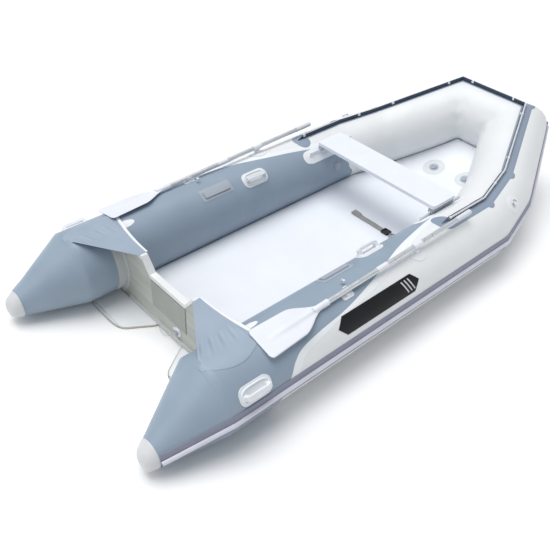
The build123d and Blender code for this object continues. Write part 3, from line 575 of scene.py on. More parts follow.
def webbing_material(name, rgb):
    """Flat woven strap: a small check of warp and weft, its hollows painted darker as painted shade."""
    paint = Paint(name, 0.8, 0.2)
    ribs = paint.math("MULTIPLY", *(
        paint.math("SINE", paint.math("MULTIPLY", way, 2 * math.pi / pitch))
        for way, pitch in zip(paint.split(paint.cut), WEBBING_PITCH)))
    base = linear(rgb)
    # low cells of the weave, the hollows, are painted darker: painted shade
    paint.colour(paint.mix(paint.span(ribs, -1, 1), tuple(c * 0.72 for c in base), base))
    paint.bump(ribs, 0.0005, 0.7)
    return paint.material


def aluminium_material():
    """Anodised tube, drawn lengthwise."""
    paint = Paint("drawn_aluminium", 0.32, 0.5, metallic=0.55)
    streaks = paint.noise(60, 4, (0.06, 6, 6))
    shade = paint.span(streaks, 0.35, 0.65)
    paint.colour(paint.mix(shade, linear((205, 209, 213)), linear((232, 235, 238))))
    paint.rough(0.26, 0.40, 30)
    paint.bump(streaks, 0.0001, 0.4)
    return paint.material


def steel_material():
    """Polished stainless steel with light handling marks."""
    paint = Paint("polished_steel", 0.2, 0.5, metallic=1.0)
    paint.colour(paint.mottled((200, 203, 207), 0.06, 40))
    paint.rough(0.14, 0.28, 60)
    return paint.material


def board_material():
    """Painted marine ply: a flat beige-gray coat over faint grain."""
    paint = Paint("painted_ply", 0.48, 0.4, coat=0.1)
    grain = paint.noise(22, 6, (1, 0.12, 1.6))
    shade = paint.span(grain, 0.3, 0.7)
    paint.colour(paint.mix(shade, linear((172, 176, 168)), linear((190, 193, 186))))
    paint.bump(grain, 0.0005, 0.35)
    paint.bump(paint.noise(420, 2), 0.00015, 0.3)
    return paint.material


BAR_START, BAR_STEP, BAR_COUNT, BAR_SLANT, BAR_HALF, BAR_REACH = 0.515, 0.026, 3, 0.45, 0.0044, 0.036


def panel_material():
    """Matt black panel with plain slanted bars near its forward end."""
    paint = Paint("black_panel", 0.46, 0.35)
    u, v = paint.split(paint.cut)[:2]
    slant = paint.math("ADD", u, paint.math("MULTIPLY", v, BAR_SLANT))
    bars = 0.0
    for k in range(BAR_COUNT):
        away = paint.gap(slant, BAR_START + BAR_STEP * k)
        bars = paint.math("MAXIMUM", bars, paint.span(away, BAR_HALF, BAR_HALF + 0.0006, 1.0, 0.0))
    inside = paint.span(paint.math("ABSOLUTE", v), BAR_REACH, BAR_REACH + 0.0006, 1.0, 0.0)
    share = paint.math("MULTIPLY", bars, inside)
    black, white = paint.mottled((20, 21, 24), 0.2, 9), paint.mottled((205, 208, 212), 0.04, 9)
    paint.colour(paint.mix(share, black, white))
    paint.bump(paint.noise(900, 2), 0.0001, 0.4)
    return paint.material


def sole_material():
    """Floor fabric of the underside, with the light scuffs of being dragged ashore."""
    paint = coated_fabric("bottom_cloth", (196, 202, 208), 0.5, 0.05)
    scuff = paint.span(paint.noise(30, 6, (0.15, 1, 1)), 0.58, 0.75)
    paint.bump(scuff, 0.0003, 0.5)
    return paint.material


# Name, colour, roughness, mottling, and the height of creases or of the grain.
COATED = {
    "keel": ("keel_cloth", (205, 210, 215)),
    # gusset: the tube's gray cloth, made a little lighter than GRAY as painted light
    "gusset": ("gusset_cloth", (157, 172, 188), 0.44, 0.05, 0.004),
    "apron": ("apron_cloth", (240, 242, 244), 0.46, 0.03, 0.002),
    "patch": ("white_patch_cloth", (240, 242, 245), 0.44, 0.02),
    "valve_patch": ("valve_patch_cloth", (214, 218, 220), 0.48, 0.03),
    "ridge": ("ridge_rubber", (140, 154, 172), 0.46, 0.05),
    "flap_out": ("flap_outer_face", (128, 132, 152), 0.46, 0.06),
}
MOULDED = {
    "white": ("white_plastic", (233, 236, 240)),
    "cap": ("cone_cap_rubber", (210, 211, 212), 0.46, 0.05),
    "seat": ("seat_laminate", (234, 238, 245), 0.4, 0.015),
    "gray": ("gray_rubber", (168, 176, 186), 0.5, 0.05),
    "dark": ("black_plastic", (30, 31, 34), 0.4, 0.1),
    "flange": ("flange_rubber", (196, 199, 198), 0.5, 0.04),
    "edge_cap": ("edge_cap_plastic", (232, 234, 234), 0.42, 0.03),
    "pad": ("motor_pad_plastic", (160, 163, 157), 0.5, 0.05, 0.0004),
    "lanyard": ("lanyard_cord", (176, 176, 166), 0.7, 0.1),
    "grip": ("oar_grip_plastic", (222, 225, 229), 0.45, 0.04, 0.0004),
    "blade": ("blade_plastic", (232, 235, 243), 0.36, 0.02),
    "apron_rim": ("apron_rim", (176, 172, 164), 0.5, 0.06),
}
MATERIAL = {
    "side": side_tube_material(),
    "pale": pale_tube_material(),
    "deck": deck_material(),
    "bottom": sole_material(),
    "flap": flap_material(),
    "rail_base": rail_material("rail_rubber", (134, 138, 156)),
    "rail_rib": rail_material("rail_rib_rubber", (214, 215, 226)),
    "board": board_material(),
    "rope": rope_material(),
    "strap": webbing_material("strap_webbing", (168, 168, 164)),
    "panel": panel_material(),
    "aluminium": aluminium_material(),
    "steel": steel_material(),
}
MATERIAL.update({key: coated_fabric(*row).material for key, row in COATED.items()})
MATERIAL.update({key: moulded(*row).material for key, row in MOULDED.items()})


# ---- inflated tubes ----
AROUND, FIRST_ANGLE = 144, -90      # points round a tube, starting at its lowest
CONE_ROWS, ROW_SPACING, JOINT_SMOOTHING = 18, 0.018, 4
PUCKER_DEPTHS, PUCKER_ROWS, PUCKER_FOLDS = (0.0012, 0.0010, 0.0040), 10, 13


def tube_rows():
    """Rings of the whole hull from the port cone round the bow to the middle, and leg starts."""
    angles = [FIRST_ANGLE + 360 * k / AROUND for k in range(AROUND)]
    lengths = (CONE_END + (CONE_START - CONE_END) * k / CONE_ROWS for k in range(CONE_ROWS))
    rows = [circle(*cone_section(x), AROUND, FIRST_ANGLE) for x in lengths]
    starts = []
    for leg in range(MIDDLE_LEG + 1):
        start, end = LEGS[leg]
        count = max(12, round((end - start).length / ROW_SPACING))
        starts.append(len(rows))
        rows += [[hull_point(leg, k / count, a, 0.0) for a in angles] for k in range(count)]
    rows.append([hull_point(MIDDLE_LEG, 1, a, 0.0) for a in angles])
    return np.array([[tuple(p) for p in row] for row in rows]), starts


def pucker(rows, normals, starts):
    """Soft folds of slack fabric on the inner side of each bow joint."""
    angles = np.radians(FIRST_ANGLE + 360 * np.arange(AROUND) / AROUND)
    inner = np.clip(-np.cos(angles), 0, 1) ** 1.5
    for start, depth in zip(starts[1:], PUCKER_DEPTHS):
        for row in range(start - PUCKER_ROWS + 1, start + PUCKER_ROWS):
            fade = math.cos((row - start) / PUCKER_ROWS * math.pi / 2) ** 2
            fold = 0.5 + 0.5 * np.cos(PUCKER_FOLDS * angles + 0.7 * math.sin(row * 0.9))
            rows[row] -= normals[row] * (inner * fold * fade * depth)[:, None]
    return rows


def row_normals(rows):
    along = np.gradient(rows, axis=0)
    around = np.roll(rows, -1, axis=1) - np.roll(rows, 1, axis=1)
    normals = np.cross(around, along)
    return normals / np.linalg.norm(normals, axis=2, keepdims=True)


def smooth_joints(rows, starts):
    """Rounds the mitres a little, as air pressure does."""
    for start in starts[1:]:
        for _ in range(JOINT_SMOOTHING):
            part = rows[start - 3:start + 4]
            rows[start - 2:start + 3] = part[1:-1] * 0.5 + (part[:-2] + part[2:]) * 0.25
    return rows


def tube_piece(name, rows, normals, material, node, slot):
    """One leg's skin, shaded smoothly into its neighbours."""
    obj = grid_object(name, rows, material, closed=True)
    obj.data.normals_split_custom_set_from_vertices([tuple(n) for row in normals for n in row])
    install(obj, slot, node)
    return obj


def tubes():
    rows, starts = tube_rows()
    rows = smooth_joints(rows, starts)
    rows = pucker(rows, row_normals(rows), starts)
    # the front leg's second half is the first half's mirror image
    flip = np.array([1, -1, 1])
    front = rows[starts[-1]:]
    count = len(front)
    for k in range(count // 2 + 1, count):
        front[k] = front[count - 1 - k] * flip
    normals = row_normals(rows)
    for k in range(count // 2, count):
        normals[starts[-1] + k] = normals[starts[-1] + count - 1 - k] * flip
    for base, first, last, material, slot in (
        ("tube_side", 0, starts[1], "side", "tube_fabric_gray"),
        ("tube_quarter", starts[1], starts[2], "pale", "tube_fabric_white"),
        ("tube_bow", starts[2], starts[3], "pale", "tube_fabric_white"),
    ):
        port = rows[first:last + 1], normals[first:last + 1]
        starboard = ((part * flip)[:, ::-1] for part in port)
        for side, (part, shade) in (("port", port), ("starboard", starboard)):
            name = f"{base}_skin_{side}"
            tube_piece(name, part, shade, MATERIAL[material], f"{base}_{side}", slot)
    tube_piece("tube_front_skin", rows[starts[-1]:], normals[starts[-1]:], MATERIAL["pale"], "tube_front",
               "tube_fabric_white")


# ---- deck, keel and bottom ----
def deck_height(x):
    """Top of the floor at a length from the stern: level, then rising along an arc."""
    if x < DECK_RISE_START:
        return DECK_TOP
    turn = math.asin((x - DECK_RISE_START) / DECK_RISE_RADIUS)
    return DECK_TOP + DECK_RISE_RADIUS * (1 - math.cos(turn))


CREASE = (at(2.72, -0.15, 0).xy, at(3.35, -0.05, 0).xy)
CREASE_DEPTH, CREASE_WIDTH = 0.004, 0.010
DECK_UNEVEN = 0.0015        # soft ups and downs, all of them below the CAD's top


def deck():
    """Inflated floor with rounded edges and a shallow crease where it folds for stowing."""
    obj = softened_copy("air_deck", "deck_cushion", MATERIAL["deck"], 0.008, 14)
    first, line = CREASE[0], CREASE[1] - CREASE[0]
    for vertex in obj.data.vertices:
        x, y, z = vertex.co
        if z < deck_height(x - STERN) - 0.02:
            continue
        share = held((vertex.co.xy - first).dot(line) / line.length_squared)
        away = (vertex.co.xy - (first + line * share)).length
        depth = CREASE_DEPTH * math.exp(-(away / CREASE_WIDTH) ** 2) * math.sin(math.pi * share) ** 0.5
        soft = DECK_UNEVEN * noise.noise(Vector((x * 3, y * 5, 0)))
        vertex.co.z += soft - DECK_UNEVEN - depth
    install(obj, "deck_fabric", "air_deck")


def keel():
    """Inflated keel between the deck and the bottom."""
    obj = softened_copy("keel_tube", "keel_cushion", MATERIAL["keel"], 0.006, 6)
    install(obj, "keel_fabric", "keel_tube")


def plan_half_width(x, inset):
    """Half width of the floor, seen from above, at a length from the stern."""
    line = [(STERN, SIDE_Y - inset)]
    for joint in range(1, MIDDLE_LEG + 2):
        before, after = outboard(leg_direction(joint - 1)), outboard(leg_direction(joint))
        middle = (before + after).normalized()
        corner = PATH[joint] - middle * (inset / middle.dot(before))
        line.append((corner.x, corner.y))
    for (x0, y0), (x1, y1) in zip(line, line[1:]):
        if x1 > x0 and x0 <= STERN + x <= x1:
            return y0 + (y1 - y0) * (STERN + x - x0) / (x1 - x0)
    return 0.0


BOTTOM_END, BOTTOM_LIFT = 3.40, 0.0021
KEEL_PULL, KEEL_SIDE, KEEL_PULL_WIDTH = 0.0012, 0.10, 0.03


def bottom():
    """Fabric stretched under the hull, pulled in slightly beside the keel."""
    long, wide = 140, 48
    rows = []
    for k in range(long + 1):
        x = TRANSOM + (BOTTOM_END - TRANSOM) * k / long
        turn = math.asin(max(0.0, x - DECK_RISE_START) / SKIN_RISE_RADIUS)
        rise = SKIN_RISE_RADIUS * (1 - math.cos(turn)) + BOTTOM_LIFT
        half = plan_half_width(x, SKIN_INSET + 0.01)
        row = []
        for c in range(wide + 1):
            y = half * (-1 + 2 * c / wide)
            pull = KEEL_PULL * math.exp(-((abs(y) - KEEL_SIDE) / KEEL_PULL_WIDTH) ** 2)
            row.append(at(x, y, rise + pull))
        rows.append(row)
    obj = grid_object("bottom_skin_cloth", rows, MATERIAL["bottom"])
    thicken(obj, 0.0015)
    install(obj, "bottom_fabric", "bottom_skin")


# ---- stern: gussets and aprons ----
def catmull(points, count):
    """Smooth line through points, as evenly spaced positions."""
    line = [Vector(p) for p in points]
    line = [line[0] * 2 - line[1]] + line + [line[-1] * 2 - line[-2]]
    made = []
    for a, b, c, d in zip(line, line[1:], line[2:], line[3:]):
        for k in range(24):
            t = k / 24
            made.append(0.5 * ((2 * b) + (c - a) * t + (2 * a - 5 * b + 4 * c - d) * t * t
                               + (3 * b - a - 3 * c + d) * t ** 3))
    made.append(line[-2])
    lengths = [0.0]
    for near, far in zip(made, made[1:]):
        lengths.append(lengths[-1] + (far - near).length)
    even = []
    for k in range(count):
        want = lengths[-1] * k / (count - 1)
        spot = next((i for i in range(1, len(lengths)) if lengths[i] >= want), len(lengths) - 1)
        step = lengths[spot] - lengths[spot - 1]
        share = (want - lengths[spot - 1]) / step if step else 0.0
        even.append(made[spot - 1].lerp(made[spot], share))
    return even


GUSSET_LEVEL = 0.4308
GUSSET_AFT, GUSSET_FORE = 0.368, 0.712
GUSSET_INNER = at(0.606, 0.240, GUSSET_LEVEL), at(0.664, 0.236, GUSSET_LEVEL)
GLUED_EDGE, GLUED_ROUND, CROWN_ANGLE = 66, 20, 93.0     # angles of the glued part
LEVEL_BY = 0.16         # share of the free cloth by which it is level with the cap
FREE_SPAN = 0.38        # share of the cloth that hangs free before the transom's cap
HOLLOW_FROM, HOLLOW_POWER = 0.4, 1.9                    # how the forward edge is cut


def gusset_rows():
    """Triangle of fabric: glued over the tube's crown, then stretched to the transom's corner."""
    inner_aft, inner_fore = GUSSET_INNER
    long, glued, free = 72, 14, 60
    rows = []
    for k in range(long + 1):
        v = k / long
        x = GUSSET_AFT + (GUSSET_FORE - GUSSET_AFT) * v
        edge = GLUED_EDGE + GLUED_ROUND * (2 * v - 1) ** 2
        row = [crown_point(x, edge + (CROWN_ANGLE - edge) * c / glued, SKIN_GAP * (1 + min(1, c / 2)))
               for c in range(glued)]
        start = crown_point(x, CROWN_ANGLE, 2 * SKIN_GAP)
        aim = inner_aft.lerp(inner_fore, v)
        hollow = max(0.0, v - HOLLOW_FROM) / (1 - HOLLOW_FROM)
        for c in range(free + 1):
            t = c / free
            point = start.lerp(aim, t)
            point.x += (aim.x - start.x) * (1 - (1 - t) ** HOLLOW_POWER - t) * hollow
            level = min(1.0, t / LEVEL_BY)
            point.z = start.z + (GUSSET_LEVEL - start.z) * level * level * (3 - 2 * level)
            slack = held((FREE_SPAN - t) / 0.12) * math.sin(math.pi * min(1.0, t / FREE_SPAN))
            fold = (0.0026 * math.sin(10 * v * math.pi + 3 * t)
                    + 0.0016 * math.sin(19 * v * math.pi - 4 * t))
            point.z += slack * (fold * 0.6 - 0.003 * math.sin(math.pi * v))
            row.append(point)
        rows.append(row)
    return rows


def gusset_trim(rows):
    """White tape folded over the gusset's forward edge, from the tube to the transom."""
    edge, inside = rows[-1][10:], rows[-3][10:]
    section = (-0.15, 0.0010), (0, 0.0016), (0.5, 0.0016), (1, 0.0008)
    strip = []
    for k, (outer, near) in enumerate(zip(edge, inside)):
        inward = (near - outer).normalized() * (0.010 + 0.008 * (1 - k / len(edge)))
        strip.append([outer + inward * run + UP * lift for run, lift in section])
    return strip


def gussets():
    """Gusset and its tape, on both sides."""
    rows = gusset_rows()
    for (side, part), (_, tape) in zip(both_sides(rows), both_sides(gusset_trim(rows))):
        obj = grid_object(f"gusset_cloth_{side}", part, MATERIAL["gusset"])
        thicken(obj, 0.0006)
        install(obj, "gusset_fabric", f"gusset_{side}")
        trim = thicken(grid_object(f"gusset_trim_{side}", tape, MATERIAL["patch"]), 0.0004)
        install(trim, "white_patch")


# Corners of the port apron from the transom round: length from the stern, y, rounding.
APRON = [(0.620, 0.550, 0), (0.452, 0.550, 0.03), (0.422, 0.505, 0.03), (0.417, 0.282, 0.05),
         (0.442, 0.212, 0.03), (0.595, 0.117, 0.012), (0.620, 0.112, 0)]
APRON_SECTION = [(0.0, 0.0), (0.0, 0.005), (0.0012, 0.0070), (0.004, 0.0082), (0.008, 0.0085),
                 (0.012, 0.0080), (0.015, 0.0068), (0.019, 0.0062)]     # inset, height
RIM_STEPS = 4           # steps of the section that belong to the rim


def rounded_outline(corners, steps=6):
    """Outline with each corner replaced by a short curve."""
    line = []
    count = len(corners)
    for k, (x, y, radius) in enumerate(corners):
        here = Vector((x, y))
        back, on = Vector(corners[k - 1][:2]), Vector(corners[(k + 1) % count][:2])
        if radius == 0:
            line.append(here)
            continue
        start = here + (back - here).normalized() * radius
        end = here + (on - here).normalized() * radius
        for s in range(steps + 1):
            t = s / steps
            line.append(start * (1 - t) ** 2 + here * (2 * t * (1 - t)) + end * t * t)
    return line


def aprons():
    """Stiff tongues of the bottom: a thick rounded rim round a slightly hollow panel."""
    outline = rounded_outline(APRON)
    centre = sum(outline, Vector((0, 0))) / len(outline)
    for side, sign in SIDES:
        rows = []
        for inset, height in APRON_SECTION:
            row = []
            for point in outline:
                toward = centre - point
                moved = point + toward.normalized() * min(inset * 1.15, toward.length)
                row.append(at(moved.x, sign * moved.y, height))
            rows.append(row)
        around = len(outline)
        faces = grid_faces(len(rows), around, closed=True)
        faces += [tuple(range(around)), tuple(range((len(rows) - 1) * around, len(rows) * around))]
        points = [p for row in rows for p in row]
        obj = mesh_object(f"stern_apron_{side}", points, faces, MATERIAL["apron"])
        obj.data.materials.append(MATERIAL["apron_rim"])
        for face in list(obj.data.polygons)[:RIM_STEPS * around]:
            face.material_index = 1
        cleaned(obj)
        install(obj, "apron_fabric", "stern_aprons")


# ---- cone caps and rail base ----
CAP_LENGTH, CAP_WALL, CAP_ROUND = 0.058, 0.0035, 0.026


def cone_ring(x, lift):
    """Ring above the cone, kept from shrinking to nothing."""
    centre, radius = cone_section(x)
    return circle(centre, max(radius + lift, 0.0004), 64)


def cone_caps():
    """Moulded caps on the stern cones, round at the end and with a thin lip forward."""
    section = [(CAP_LENGTH + 0.0005, 0.0002), (CAP_LENGTH, 0.0022), (CAP_LENGTH - 0.0015, CAP_WALL),
               (0.045, CAP_WALL), (CAP_ROUND + 0.004, CAP_WALL)]
    for k in range(13):
        turn = math.pi / 2 * k / 12
        section.append((CAP_ROUND * (1 - math.sin(turn)), CAP_WALL - CAP_ROUND * (1 - math.cos(turn))))
    for share in (0.75, 0.5, 0.25, 0.0):
        section.append((0.0, -0.050 * (1 - share) + (CAP_WALL - CAP_ROUND) * share))
    for side, part in both_sides([cone_ring(x, lift) for x, lift in section]):
        obj = cleaned(grid_object(f"cone_cap_{side}", part, MATERIAL["cap"], closed=True))
        install(obj, "cone_cap", "cone_caps")


RAIL_HALF, RAIL_THICK = 0.0488, 0.0040


def rail_base():
    """Flat rubber strip under the rib, as wide on the cones as on the tubes."""
    half = [(0, 1), (0.58, 1), (0.62, 0.75), (0.66, 1), (0.97, 1), (1, 0.6), (1, 0.0003)]
    section = [(-s, t) for s, t in reversed(half[1:])] + half
    first, rows = CAP_LENGTH + 0.006, []
    for k in range(24):
        x = first + (CONE_START - first) * k / 24
        radius = cone_section(x)[1]
        rows.append([crown_point(x, math.degrees(s * RAIL_HALF / radius), 0.0003 + RAIL_THICK * t)
                     for s, t in section])
    for leg, share in hull_stations(CONE_START, 0.03):
        rows.append([hull_point(leg, share, math.degrees(s * RAIL_HALF / TUBE_R), 0.0003 + RAIL_THICK * t)
                     for s, t in section])
    obj = grid_object("rub_rail_strip", whole_round(rows), MATERIAL["rail_base"])
    install(obj, "rail_base", "rub_rail_base")


# ---- strips along the bow ----
def hull_stations(x_start, spacing):
    """(leg, share) from a place on the port tube round to the middle of the front."""
    places = []
    for leg in range(MIDDLE_LEG + 1):
        start, end = LEGS[leg]
        first = share_at(x_start) if leg == 0 else 0.0
        last = 0.5 if leg == MIDDLE_LEG else 1.0
        count = max(3, round((end - start).length * (last - first) / spacing))
        places += [(leg, first + (last - first) * k / count) for k in range(count)]
    places.append((MIDDLE_LEG, 0.5))
    return places


def whole_round(rows):
    """Rows of one half followed by their mirror image."""
    return rows + [flipped(row) for row in reversed(rows[:-1])]


def walked(places):
    """Distance run at each station, on the crown, and at each joint."""
    run, total, joints, last = [], 0.0, [], None
    for leg, share in places:
        here = hull_point(leg, share, 90, 0.0)
        total += (here - last).length if last else 0.0
        last = here
        run.append(total)
        if share == 0 and leg:
            joints.append(total)
    return run, joints


LOBE_HALF, LOBE_OUT = 0.030, 5.0               # round lobe on the outside of each joint
FOOT_HALF_LENGTH, FOOT_IN = 0.060, 19.0        # round foot inboard, at the strip's aft end


def ridge():
    """Rubber strip under the flap, with round ends and a lobe on the outside of each joint."""
    places = hull_stations(RIDGE_START, 0.006)
    run, joints = walked(places)
    arc = math.radians(RIDGE_OUT) * TUBE_R
    rows = []
    for (leg, share), here in zip(places, run):
        end = arch(max(0.0, 1 - here / arc))
        lobe = max(arch((here - joint) / LOBE_HALF) for joint in joints)
        foot = arch(here / FOOT_HALF_LENGTH - 1)
        edges = (90 - RIDGE_OUT * max(end, 0.02) - LOBE_OUT * lobe,
                 90 + RIDGE_IN * max(end, 0.02) + FOOT_IN * foot)
        row = []
        for c in range(17):
            t = c / 16
            lift = SKIN_GAP + RIDGE_TOP * min(1.0, 8 * t, 8 * (1 - t)) ** 0.5 * max(end, 0.1)
            row.append(hull_point(leg, share, edges[0] + (edges[1] - edges[0]) * t, lift))
        rows.append(row)
    obj = grid_object("ridge_strip", whole_round(rows), MATERIAL["ridge"])
    install(obj, "ridge_strip", "ridge_base")


FLAP_WAVE, FLAP_WAVE_TURN = 0.0007, 34


def flap():
    """Standing rubber strip, a little wavy between its buttons, with a thicker top bead."""
    places = hull_stations(FLAP_START, 0.008)
    run, _ = walked(places)
    rows = []
    for (leg, share), here in zip(places, run):
        top = min(FLAP_HEIGHT, 0.004 + FLAP_HEIGHT * here / FLAP_SLANT)
        wave = FLAP_WAVE * math.sin(here * FLAP_WAVE_TURN)
        half = [(0.6, top), (1.15, 0.94 * top), (1, 0.86 * top), (1, 0.5 * top), (1, RIDGE_TOP)]
        row = []
        for out, lift in [(-out, lift) for out, lift in reversed(half)] + half:
            offset = (out * FLAP_HALF_THICK + wave * lift / FLAP_HEIGHT) / (TUBE_R + lift)
            row.append(hull_point(leg, share, 90 - math.degrees(offset), lift))
        rows.append(row)
    obj = cleaned(grid_object("spray_flap_strip", whole_round(rows), MATERIAL["flap"], closed=True))
    obj.data.materials.append(MATERIAL["flap_out"])
    # faces turned outboard get the lighter outer colour; the rest keep the inboard colour, darkened with
    # painted shade
    for face in obj.data.polygons:
        y = face.center.y
        outward = Vector((0, math.copysign(1, y), 0)) if abs(y) > 0.25 else Vector((1, 0, 0))
        if face.normal.dot(outward) > 0.3:
            face.material_index = 1
    install(obj, "flap_fabric", "spray_flap")


ROPE_ANGLE = 90 - math.degrees(ROPE_OUT / (TUBE_R + ROPE_HEIGHT))


def rope_line():
    """Middle of the lifeline: an even line beside the flap, from side to side."""
    points = [hull_point(leg, share, ROPE_ANGLE, ROPE_HEIGHT)
              for leg, share in hull_stations(ROPE_START, 0.02)]
    return catmull(points + flipped(reversed(points[:-1])), 620)


def tube_along(name, line, radius, material, sides=12):
    """Round mesh along a line; its UVs run in metres along and around."""
    rows = []
    normal = UP
    for k, point in enumerate(line):
        heading = (line[min(k + 1, len(line) - 1)] - line[max(k - 1, 0)]).normalized()
        normal = (normal - heading * normal.dot(heading)).normalized()
        side = heading.cross(normal)
        rows.append([point + (normal * math.cos(a) + side * math.sin(a)) * radius
                     for a in (2 * math.pi * s / sides for s in range(sides))])
    return grid_object(name, rows, material, closed=True)


def lifeline():
    """Rope round the bow, held by its rings."""
    obj = tube_along("lifeline_rope", rope_line(), ROPE_VISIBLE_R, MATERIAL["rope"])
    install(obj, "white_rope", "lifeline")


EYE_X, EYE_Y, EYE_Z, EYE_R, EYE_WIRE_R = TRANSOM - 0.0024, 0.380, 0.3645, 0.009, 0.0022
RINGS = [(0, 0.42), (0, 0.84), (1, 0.5), (2, 0.17), (2, 0.83), (3, 0.17)]


def lathed(name, centre, axis, profile, material, sides=24):
    """Turned piece: profile gives (along the axis, radius)."""
    side = axis.orthogonal().normalized()
    other = axis.cross(side)
    rows = [[centre + axis * run + (side * math.cos(a) + other * math.sin(a)) * radius
             for a in (2 * math.pi * k / sides for k in range(sides))] for run, radius in profile]
    return cleaned(grid_object(name, rows, material, closed=True))


def joined(name, pieces):
    """Several meshes made into one piece."""
    work = bmesh.new()
    for piece in pieces:
        work.from_mesh(piece.data)
    mesh = bpy.data.meshes.new(name)
    work.to_mesh(mesh)
    work.free()
    mesh.materials.append(pieces[0].data.materials[0])
    mesh.shade_smooth()
    for piece in pieces:
        bpy.data.objects.remove(piece)
    return link(bpy.data.objects.new(name, mesh))


def rope_fittings():
    """Rings round the lifeline with domed buttons through the flap, and the transom's two eyes."""
    band = [(-0.007, 0.0066), (-0.007, 0.0080), (-0.005, 0.0088), (0.005, 0.0088), (0.007, 0.0080),
            (0.007, 0.0066), (-0.007, 0.0066)]
    dome = [(0.0, 0.0004), (0.0, 0.0110), (0.0012, 0.0112), (0.0026, 0.0095), (0.0034, 0.0060),
            (0.0036, 0.0004)]
    white = MATERIAL["white"]
    pieces = []
    for leg, share in RINGS:
        centre = hull_point(leg, share, ROPE_ANGLE, ROPE_HEIGHT)
        heading = leg_direction(leg)
        crown = hull_point(leg, share, 90, ROPE_HEIGHT)
        inward = (crown - centre).normalized()
        back = crown + inward * (FLAP_HALF_THICK + 0.0003)
        for flip in (1, -1):
            turn = Vector((1, flip, 1))
            pieces.append(lathed("ring", centre * turn, (heading * turn).normalized(), band, white))
            pieces.append(lathed("button", back * turn, (inward * turn).normalized(), dome, white))
    for _, sign in SIDES:
        loop = circle(at(EYE_X, sign * EYE_Y, EYE_Z), EYE_R, 32)
        pieces.append(cleaned(tube_along("eye", loop + loop[:1], EYE_WIRE_R, white)))
    obj = joined("rope_rings_and_buttons", pieces)
    install(obj, "eyelet_plastic", "rope_eyelets")


HANDLES = (("aft", 0.541, 28.5), ("inner", 1.640, 125.0))      # length from the stern, angle
RIM_HALF_LENGTH, RIM_HALF_WIDTH, RIM_R, RIM_LIFT = 0.080, 0.036, 0.0050, 0.0055


def handle_rims():
    """Raised moulded frame round each grab handle's plate."""
    for name, x0, angle in HANDLES:
        loop = []
        for k in range(97):
            a = 2 * math.pi * k / 96
            c, n = math.cos(a), math.sin(a)
            x = RIM_HALF_LENGTH * math.copysign(abs(c) ** 0.55, c)
            arc = RIM_HALF_WIDTH * math.copysign(abs(n) ** 0.7, n)
            loop.append(side_point(x0 + x, angle + math.degrees(arc / TUBE_R), RIM_LIFT))
        for side, line in (("port", loop), ("starboard", flipped(loop))):
            rim = tube_along(f"handle_rim_{name}_{side}", line, RIM_R, MATERIAL["white"])
            install(cleaned(rim), "handle_plastic")


# ---- panels, patches, strap ----
def surface_grid(outline_at, count_u, count_v, lift):
    """Rows over the port tube: outline_at(u) gives x, angle and half height, u from 0 to 1."""
    rows = []
    for k in range(count_u + 1):
        x, middle, half = outline_at(k / count_u)
        rows.append([side_point(x, middle + math.degrees(half * (2 * c / count_v - 1) / TUBE_R), lift)
                     for c in range(count_v + 1)])
    return rows


PANEL_START, PANEL_LENGTH, PANEL_ANGLE, PANEL_HALF, PANEL_POINT = 1.100, 0.630, 36.0, 0.052, 0.050
SEAT_PATCH_START, SEAT_PATCH_LENGTH, SEAT_PATCH_ANGLE, SEAT_PATCH_HALF = 2.06, 0.56, 131.0, 0.045


def panel_uv(obj):
    """UVs of the panel: metres along from its aft tip and metres above its middle line."""
    layer = obj.data.uv_layers["cut"]
    for loop in obj.data.loops:
        point = obj.data.vertices[loop.vertex_index].co
        turn = math.atan2(point.z - TUBE_R, abs(point.y) - SIDE_Y)
        above = (turn - math.radians(PANEL_ANGLE)) * TUBE_R
        layer.data[loop.index].uv = (point.x - STERN - PANEL_START, above)


def side_panels():
    """Plain dark panels with pointed ends on the outboard side of both tubes."""
    def outline(u):
        end = min(u, 1 - u) * PANEL_LENGTH
        half = PANEL_HALF * min(1.0, end / PANEL_POINT)
        return PANEL_START + PANEL_LENGTH * u, PANEL_ANGLE, max(half, 0.0004)

    for side, part in both_sides(surface_grid(outline, 126, 24, 0.0011)):
        obj = grid_object(f"side_panel_{side}", part, MATERIAL["panel"])
        panel_uv(obj)
        thicken(obj, 0.0007)
        install(obj, "panel_black", "side_panels")


def seat_patches():
    """White patches welded over the tubes beside the seat, with round lobes."""
    def outline(u):
        end = min(u, 1 - u) * SEAT_PATCH_LENGTH
        half = SEAT_PATCH_HALF * arch(max(0.0, 1 - end / SEAT_PATCH_HALF))
        return SEAT_PATCH_START + SEAT_PATCH_LENGTH * u, SEAT_PATCH_ANGLE, max(half, 0.0005)

    for side, part in both_sides(surface_grid(outline, 90, 16, 0.0009)):
        obj = grid_object(f"seat_patch_{side}", part, MATERIAL["patch"])
        install(obj, "white_patch")


STRAP = [(2.180, -0.170, 0), (2.181, -0.08, 0.0015), (2.179, 0.02, 0.003), (2.180, 0.085, 0.004),
         (2.183, 0.098, 0.0055), (2.188, 0.085, 0.007), (2.186, 0.03, 0.0048)]
STRAP_HALF = 0.019


def floor_strap():
    """Webbing laid on the deck from the buckle, its loose end folded back."""
    level = DECK_TOP + 0.0016
    line = catmull([at(x, y, level + lift) for x, y, lift in STRAP], 90)
    rows = [[p + Vector((STRAP_HALF * s, 0.0025 * s * k / 90, 0)) for s in (-1, -0.6, -0.2, 0.2, 0.6, 1)]
            for k, p in enumerate(line)]
    obj = grid_object("floor_strap_webbing", rows, MATERIAL["strap"])
    thicken(obj, 0.0016, 0.0)
    install(obj, "webbing", "floor_strap")


LANYARD = [(0.6145, -0.041, 0.084), (0.612, -0.038, 0.066), (0.606, -0.030, 0.045), (0.600, -0.016, 0.026),
           (0.594, 0.004, 0.014), (0.589, 0.026, 0.012), (0.587, 0.048, 0.020), (0.590, 0.064, 0.034),
           (0.598, 0.072, 0.050), (0.607, 0.077, 0.063), (0.6184, 0.080, 0.072)]
LANYARD_LENGTH, LANYARD_R = 0.201, 0.0012


